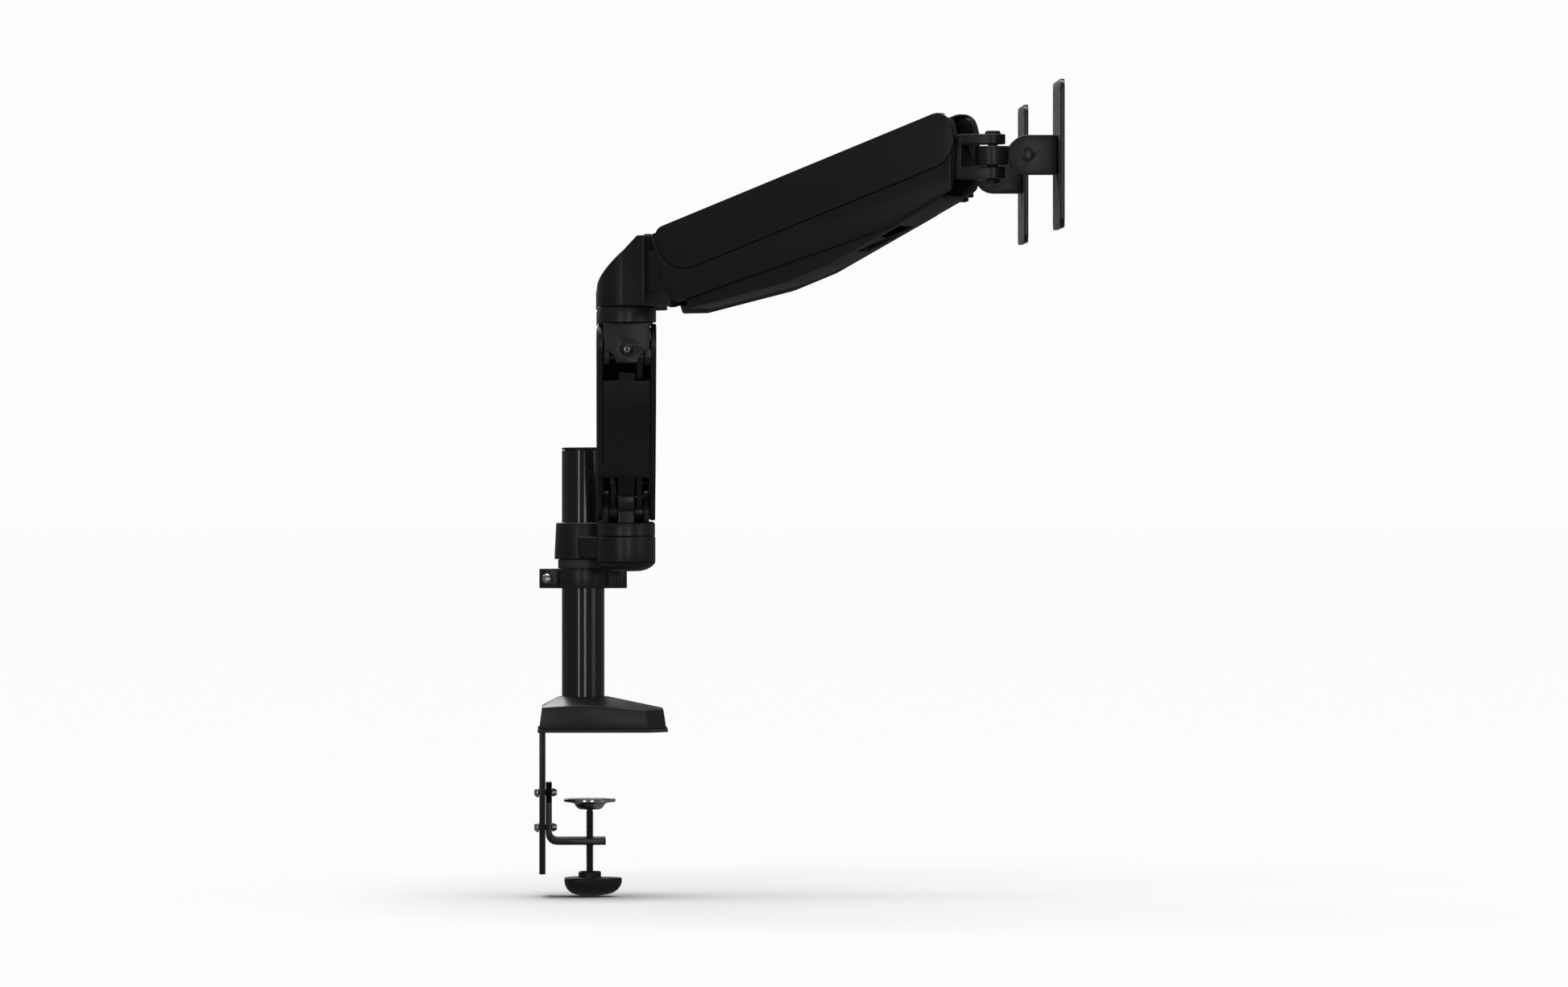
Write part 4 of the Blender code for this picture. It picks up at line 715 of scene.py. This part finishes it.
def makeElbowFlare(arm):
    # The yoke's outer face runs down in front of the pivot, with a curved edge over each window.
    at = pivot(f"{arm}_elbow_level")
    away = at - pivot(f"{arm}_lower_lift")
    away.z = 0.0
    here = frameAlong(at, away.normalized())
    half, front, back = flare["half"] * mm, flare["front"] * mm, flare["back"] * mm
    piece = addBlock((-half, flare["foot"] * mm, back), (half, flare["top"] * mm, front))
    joinAll(piece, addBlock((-half, flare["plateFoot"] * mm, flare["plate"] * mm), (half, 0.0, front)))
    for side in (-1, 1):
        x, y = side * flare["windowX"] * mm, flare["windowY"] * mm
        cutAway(piece, addRod(flare["window"] * mm, (x, y, back - 0.01), (x, y, front + 0.01), 96))
    y = flare["screwY"] * mm
    floor = front - flare["recessDepth"] * mm
    cutAway(piece, addRod(flare["recess"] * mm, (0, y, floor), (0, y, front + 0.01), 64))
    roundEdges(piece, 0.7 * mm, 3, 34)
    moveTo(piece, here)
    body = bodyOf[f"{arm}_elbow_yoke"]
    finishPiece(piece, f"{arm}_elbow_flare", body, "castPaint")
    screwHead = makeDomedHead(3.1 * mm, 1.7 * mm)
    moveTo(screwHead, here @ Matrix.Translation((0, y, floor + 0.05 * mm)))
    finishPiece(screwHead, f"{arm}_elbow_screw", body, "zinc")


shroud = {"half": 18.6, "radius": 15.6, "wall": 3.0, "foot": -18.4, "lipLow": 16.15, "lipHigh": 17.0,
          "lipStart": 5.5, "lipEnd": 17.6}


def makeLowerShroud(arm):
    # A curved back wall on the hub closes the link's lower mouth, and a lip on the link meets it.
    at = pivot(f"{arm}_lower_lift")
    along = pivot(f"{arm}_elbow_level") - at
    level = Vector((along.x, along.y, 0.0)).normalized()
    half, radius = shroud["half"] * mm, shroud["radius"] * mm
    inner = radius - shroud["wall"] * mm
    piece = addRod(radius, (-half, 0, 0), (half, 0, 0), 96)
    cutAway(piece, addRod(inner, (-half - 0.01, 0, 0), (half + 0.01, 0, 0), 96),
            addBlock((-0.1, -0.1, 0.0), (0.1, 0.1, 0.1)))
    foot = shroud["foot"] * mm
    joinAll(piece, addBlock((-half, foot, -radius * 0.9), (half, -radius * 0.5, -radius * 0.66)))
    roundEdges(piece, 0.4 * mm, 2, 34)
    moveTo(piece, frameAlong(at, level))
    finishPiece(piece, f"{arm}_lower_shroud", bodyOf[f"{arm}_lower_yoke"], "castPaint")
    lip = addBlock((-half - 0.5 * mm, shroud["lipLow"] * mm, shroud["lipStart"] * mm),
                   (half + 0.5 * mm, shroud["lipHigh"] * mm, shroud["lipEnd"] * mm))
    roundEdges(lip, 0.3 * mm, 2)
    moveTo(lip, frameAlong(at, along.normalized()))
    finishPiece(lip, f"{arm}_lower_lip", bodyOf[f"{arm}_lower_link"], "castPaint")


def makeLinks(arm):
    dressCad(f"{arm}_lower_link", 0.9 * mm, 3)
    dressCad(f"{arm}_lower_cover", 0.5 * mm, 3)
    dressCad(f"{arm}_lower_tie", 0.3 * mm, 2)
    dressCad(f"{arm}_lower_cylinder", 0.2 * mm, 2)
    dressCad(f"{arm}_lower_rod", 0.2 * mm, 2)
    dressCad(f"{arm}_upper_link", 0.9 * mm, 3)
    dressCad(f"{arm}_top_cover", 0.7 * mm, 3)
    dressCad(f"{arm}_cable_cover", 0.6 * mm, 3)
    dressCad(f"{arm}_upper_tie", 0.3 * mm, 2)
    dressCad(f"{arm}_upper_cylinder", 0.2 * mm, 2)
    dressCad(f"{arm}_upper_rod", 0.2 * mm, 2)


def makeHead(arm):
    dressCad(f"{arm}_front_yoke", 0.7 * mm, 3)
    dressCad(f"{arm}_head_block", 0.5 * mm, 3)
    dressCad(f"{arm}_tilt_knuckle", 0.9 * mm, 3)
    dressCad(f"{arm}_head_bolt", 0.3 * mm, 2)
    dressCad(f"{arm}_tilt_bolt", 0.3 * mm, 2)


def makeVesaPlate(arm):
    node = f"{arm}_vesa_plate"
    low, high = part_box(node)
    back = high.x - 3.6 * mm
    plate = addBlock((back, low.y, low.z), (high.x, high.y, high.z))
    editAll(plate)
    bpy.ops.mesh.select_mode(type="EDGE")
    bpy.ops.mesh.select_all(action="DESELECT")
    leaveEdit()
    for edge in plate.data.edges:
        first, last = (plate.data.vertices[index].co for index in edge.vertices)
        edge.select = abs(first.x - last.x) > 1.0 * mm
    activate(plate)
    bpy.ops.object.mode_set(mode="EDIT")
    bpy.ops.mesh.bevel(offset=8.0 * mm, segments=10, affect="EDGES")
    bpy.ops.mesh.select_mode(type="VERT")
    leaveEdit()
    roundEdges(plate, 0.35 * mm, 2)
    y, z = (low.y + high.y) / 2, (low.z + high.z) / 2
    for spacing in (50.0 * mm, 37.5 * mm):
        for cornerY in (-spacing, spacing):
            for cornerZ in (-spacing, spacing):
                cutAway(plate, addRod(2.6 * mm, (back - 0.01, y + cornerY, z + cornerZ),
                                      (high.x + 0.01, y + cornerY, z + cornerZ), 40))
    spigot = addRod(8.0 * mm, (low.x, y, z), (back + 0.2 * mm, y, z), 64)
    joinAll(plate, spigot)
    finishPiece(plate, node + "_shape", bodyOf[node], "steelPaint", [node])


makeBase()
makeBracketBolts()
makePressurePad()
makeClampScrew()
makeKnob()
print("clamp made")
makePole()
makeStopRing()
makeBush()
makeArmBracket()
print("pole and bracket made")
for arm in arms:
    makeYokes(arm)
    makeElbowHub(arm)
    makeElbowFlare(arm)
    makeLowerShroud(arm)
    makeLinks(arm)
    makeHead(arm)
    makeVesaPlate(arm)
    print(arm, "arm made")
dressCad("pole_screw", 0.2 * mm, 2)


# Floor, light and camera

studio = {"floor": (0.96, 0.96, 0.96), "backdrop": 0.98, "sky": 0.13, "floorSun": 2.95}
unlit = bpy.data.collections.new("floor_without_lamps")    # the lamps light everything except what is in here


def makeStudio():
    level = cadBox[0][2] - 0.6 * mm
    bpy.ops.mesh.primitive_grid_add(x_subdivisions=8, y_subdivisions=8, size=60.0, location=(0, 0, level))
    floor = bpy.context.active_object
    floor.name = "studio_floor"
    material = bpy.data.materials.new("floorPaint")
    material.use_nodes = True
    shader = material.node_tree.nodes["Principled BSDF"]
    shader.inputs["Base Color"].default_value = (*studio["floor"], 1.0)
    shader.inputs["Roughness"].default_value = 0.9
    floor.data.materials.append(material)
    floor.visible_diffuse = False
    floor.visible_glossy = False
    unlit.objects.link(floor)
    unlit.collection_objects[0].light_linking.link_state = "EXCLUDE"
    world = bpy.data.worlds.new("studio")
    world.use_nodes = True
    tree = world.node_tree
    tree.nodes["Background"].inputs["Color"].default_value = (1.0, 1.0, 1.0, 1.0)
    seen = tree.nodes.new("ShaderNodeLightPath").outputs["Is Camera Ray"]
    extra = addMath(tree, "MULTIPLY", seen, studio["backdrop"] - studio["sky"])
    tree.links.new(addMath(tree, "ADD", extra, studio["sky"]), tree.nodes["Background"].inputs["Strength"])
    bpy.context.scene.world = world
    light = bpy.data.lights.new("floorSun", "SUN")
    light.energy = studio["floorSun"]
    light.angle = math.radians(60)
    lamp = bpy.data.objects.new("floorSun", light)
    bpy.context.scene.collection.objects.link(lamp)
    onlyFloor = bpy.data.collections.new("floor_only")
    onlyFloor.objects.link(floor)
    lamp.light_linking.receiver_collection = onlyFloor
    bpy.context.scene.view_settings.view_transform = "Standard"


lamps = {
    "top": {"place": (0.2, 0.1, 2.4), "size": (2.2, 1.2), "power": 44.0},
    "poleStrip": {"place": (-1.25, -2.9, 0.35), "size": (0.28, 1.8), "power": 7.0},
    "hubStrip": {"place": (0.55, -3.1, 0.45), "size": (0.45, 1.6), "power": 7.0},
    "sideFill": {"place": (2.6, -1.6, 0.7), "size": (1.2, 1.6), "power": 4.0},
    "backRim": {"place": (-0.8, 2.3, 1.5), "size": (1.6, 1.2), "power": 26.0},
}


def makeLamps():
    target = Vector((0.15, 0.0, 0.2))
    for name, values in lamps.items():
        light = bpy.data.lights.new(name, "AREA")
        light.shape = "RECTANGLE"
        light.size, light.size_y = values["size"]
        light.energy = values["power"]
        lamp = bpy.data.objects.new(name, light)
        lamp.location = values["place"]
        lamp.rotation_euler = (target - Vector(values["place"])).to_track_quat("-Z", "Y").to_euler()
        bpy.context.scene.collection.objects.link(lamp)
        lamp.light_linking.receiver_collection = unlit


view = {"place": (-0.01415, -7.943, 0.2435), "target": (0.1650, 0.0, 0.1950), "lens": 222.0}


def makeCamera():
    data = bpy.data.cameras.new("camera")
    data.lens = view["lens"]
    data.sensor_width = 36.0
    camera = bpy.data.objects.new("camera", data)
    camera.location = view["place"]
    ahead = Vector(view["target"]) - Vector(view["place"])
    camera.rotation_euler = ahead.to_track_quat("-Z", "Y").to_euler()
    bpy.context.scene.collection.objects.link(camera)
    bpy.context.scene.camera = camera


makeStudio()
makeLamps()
makeCamera()
print("studio ready")
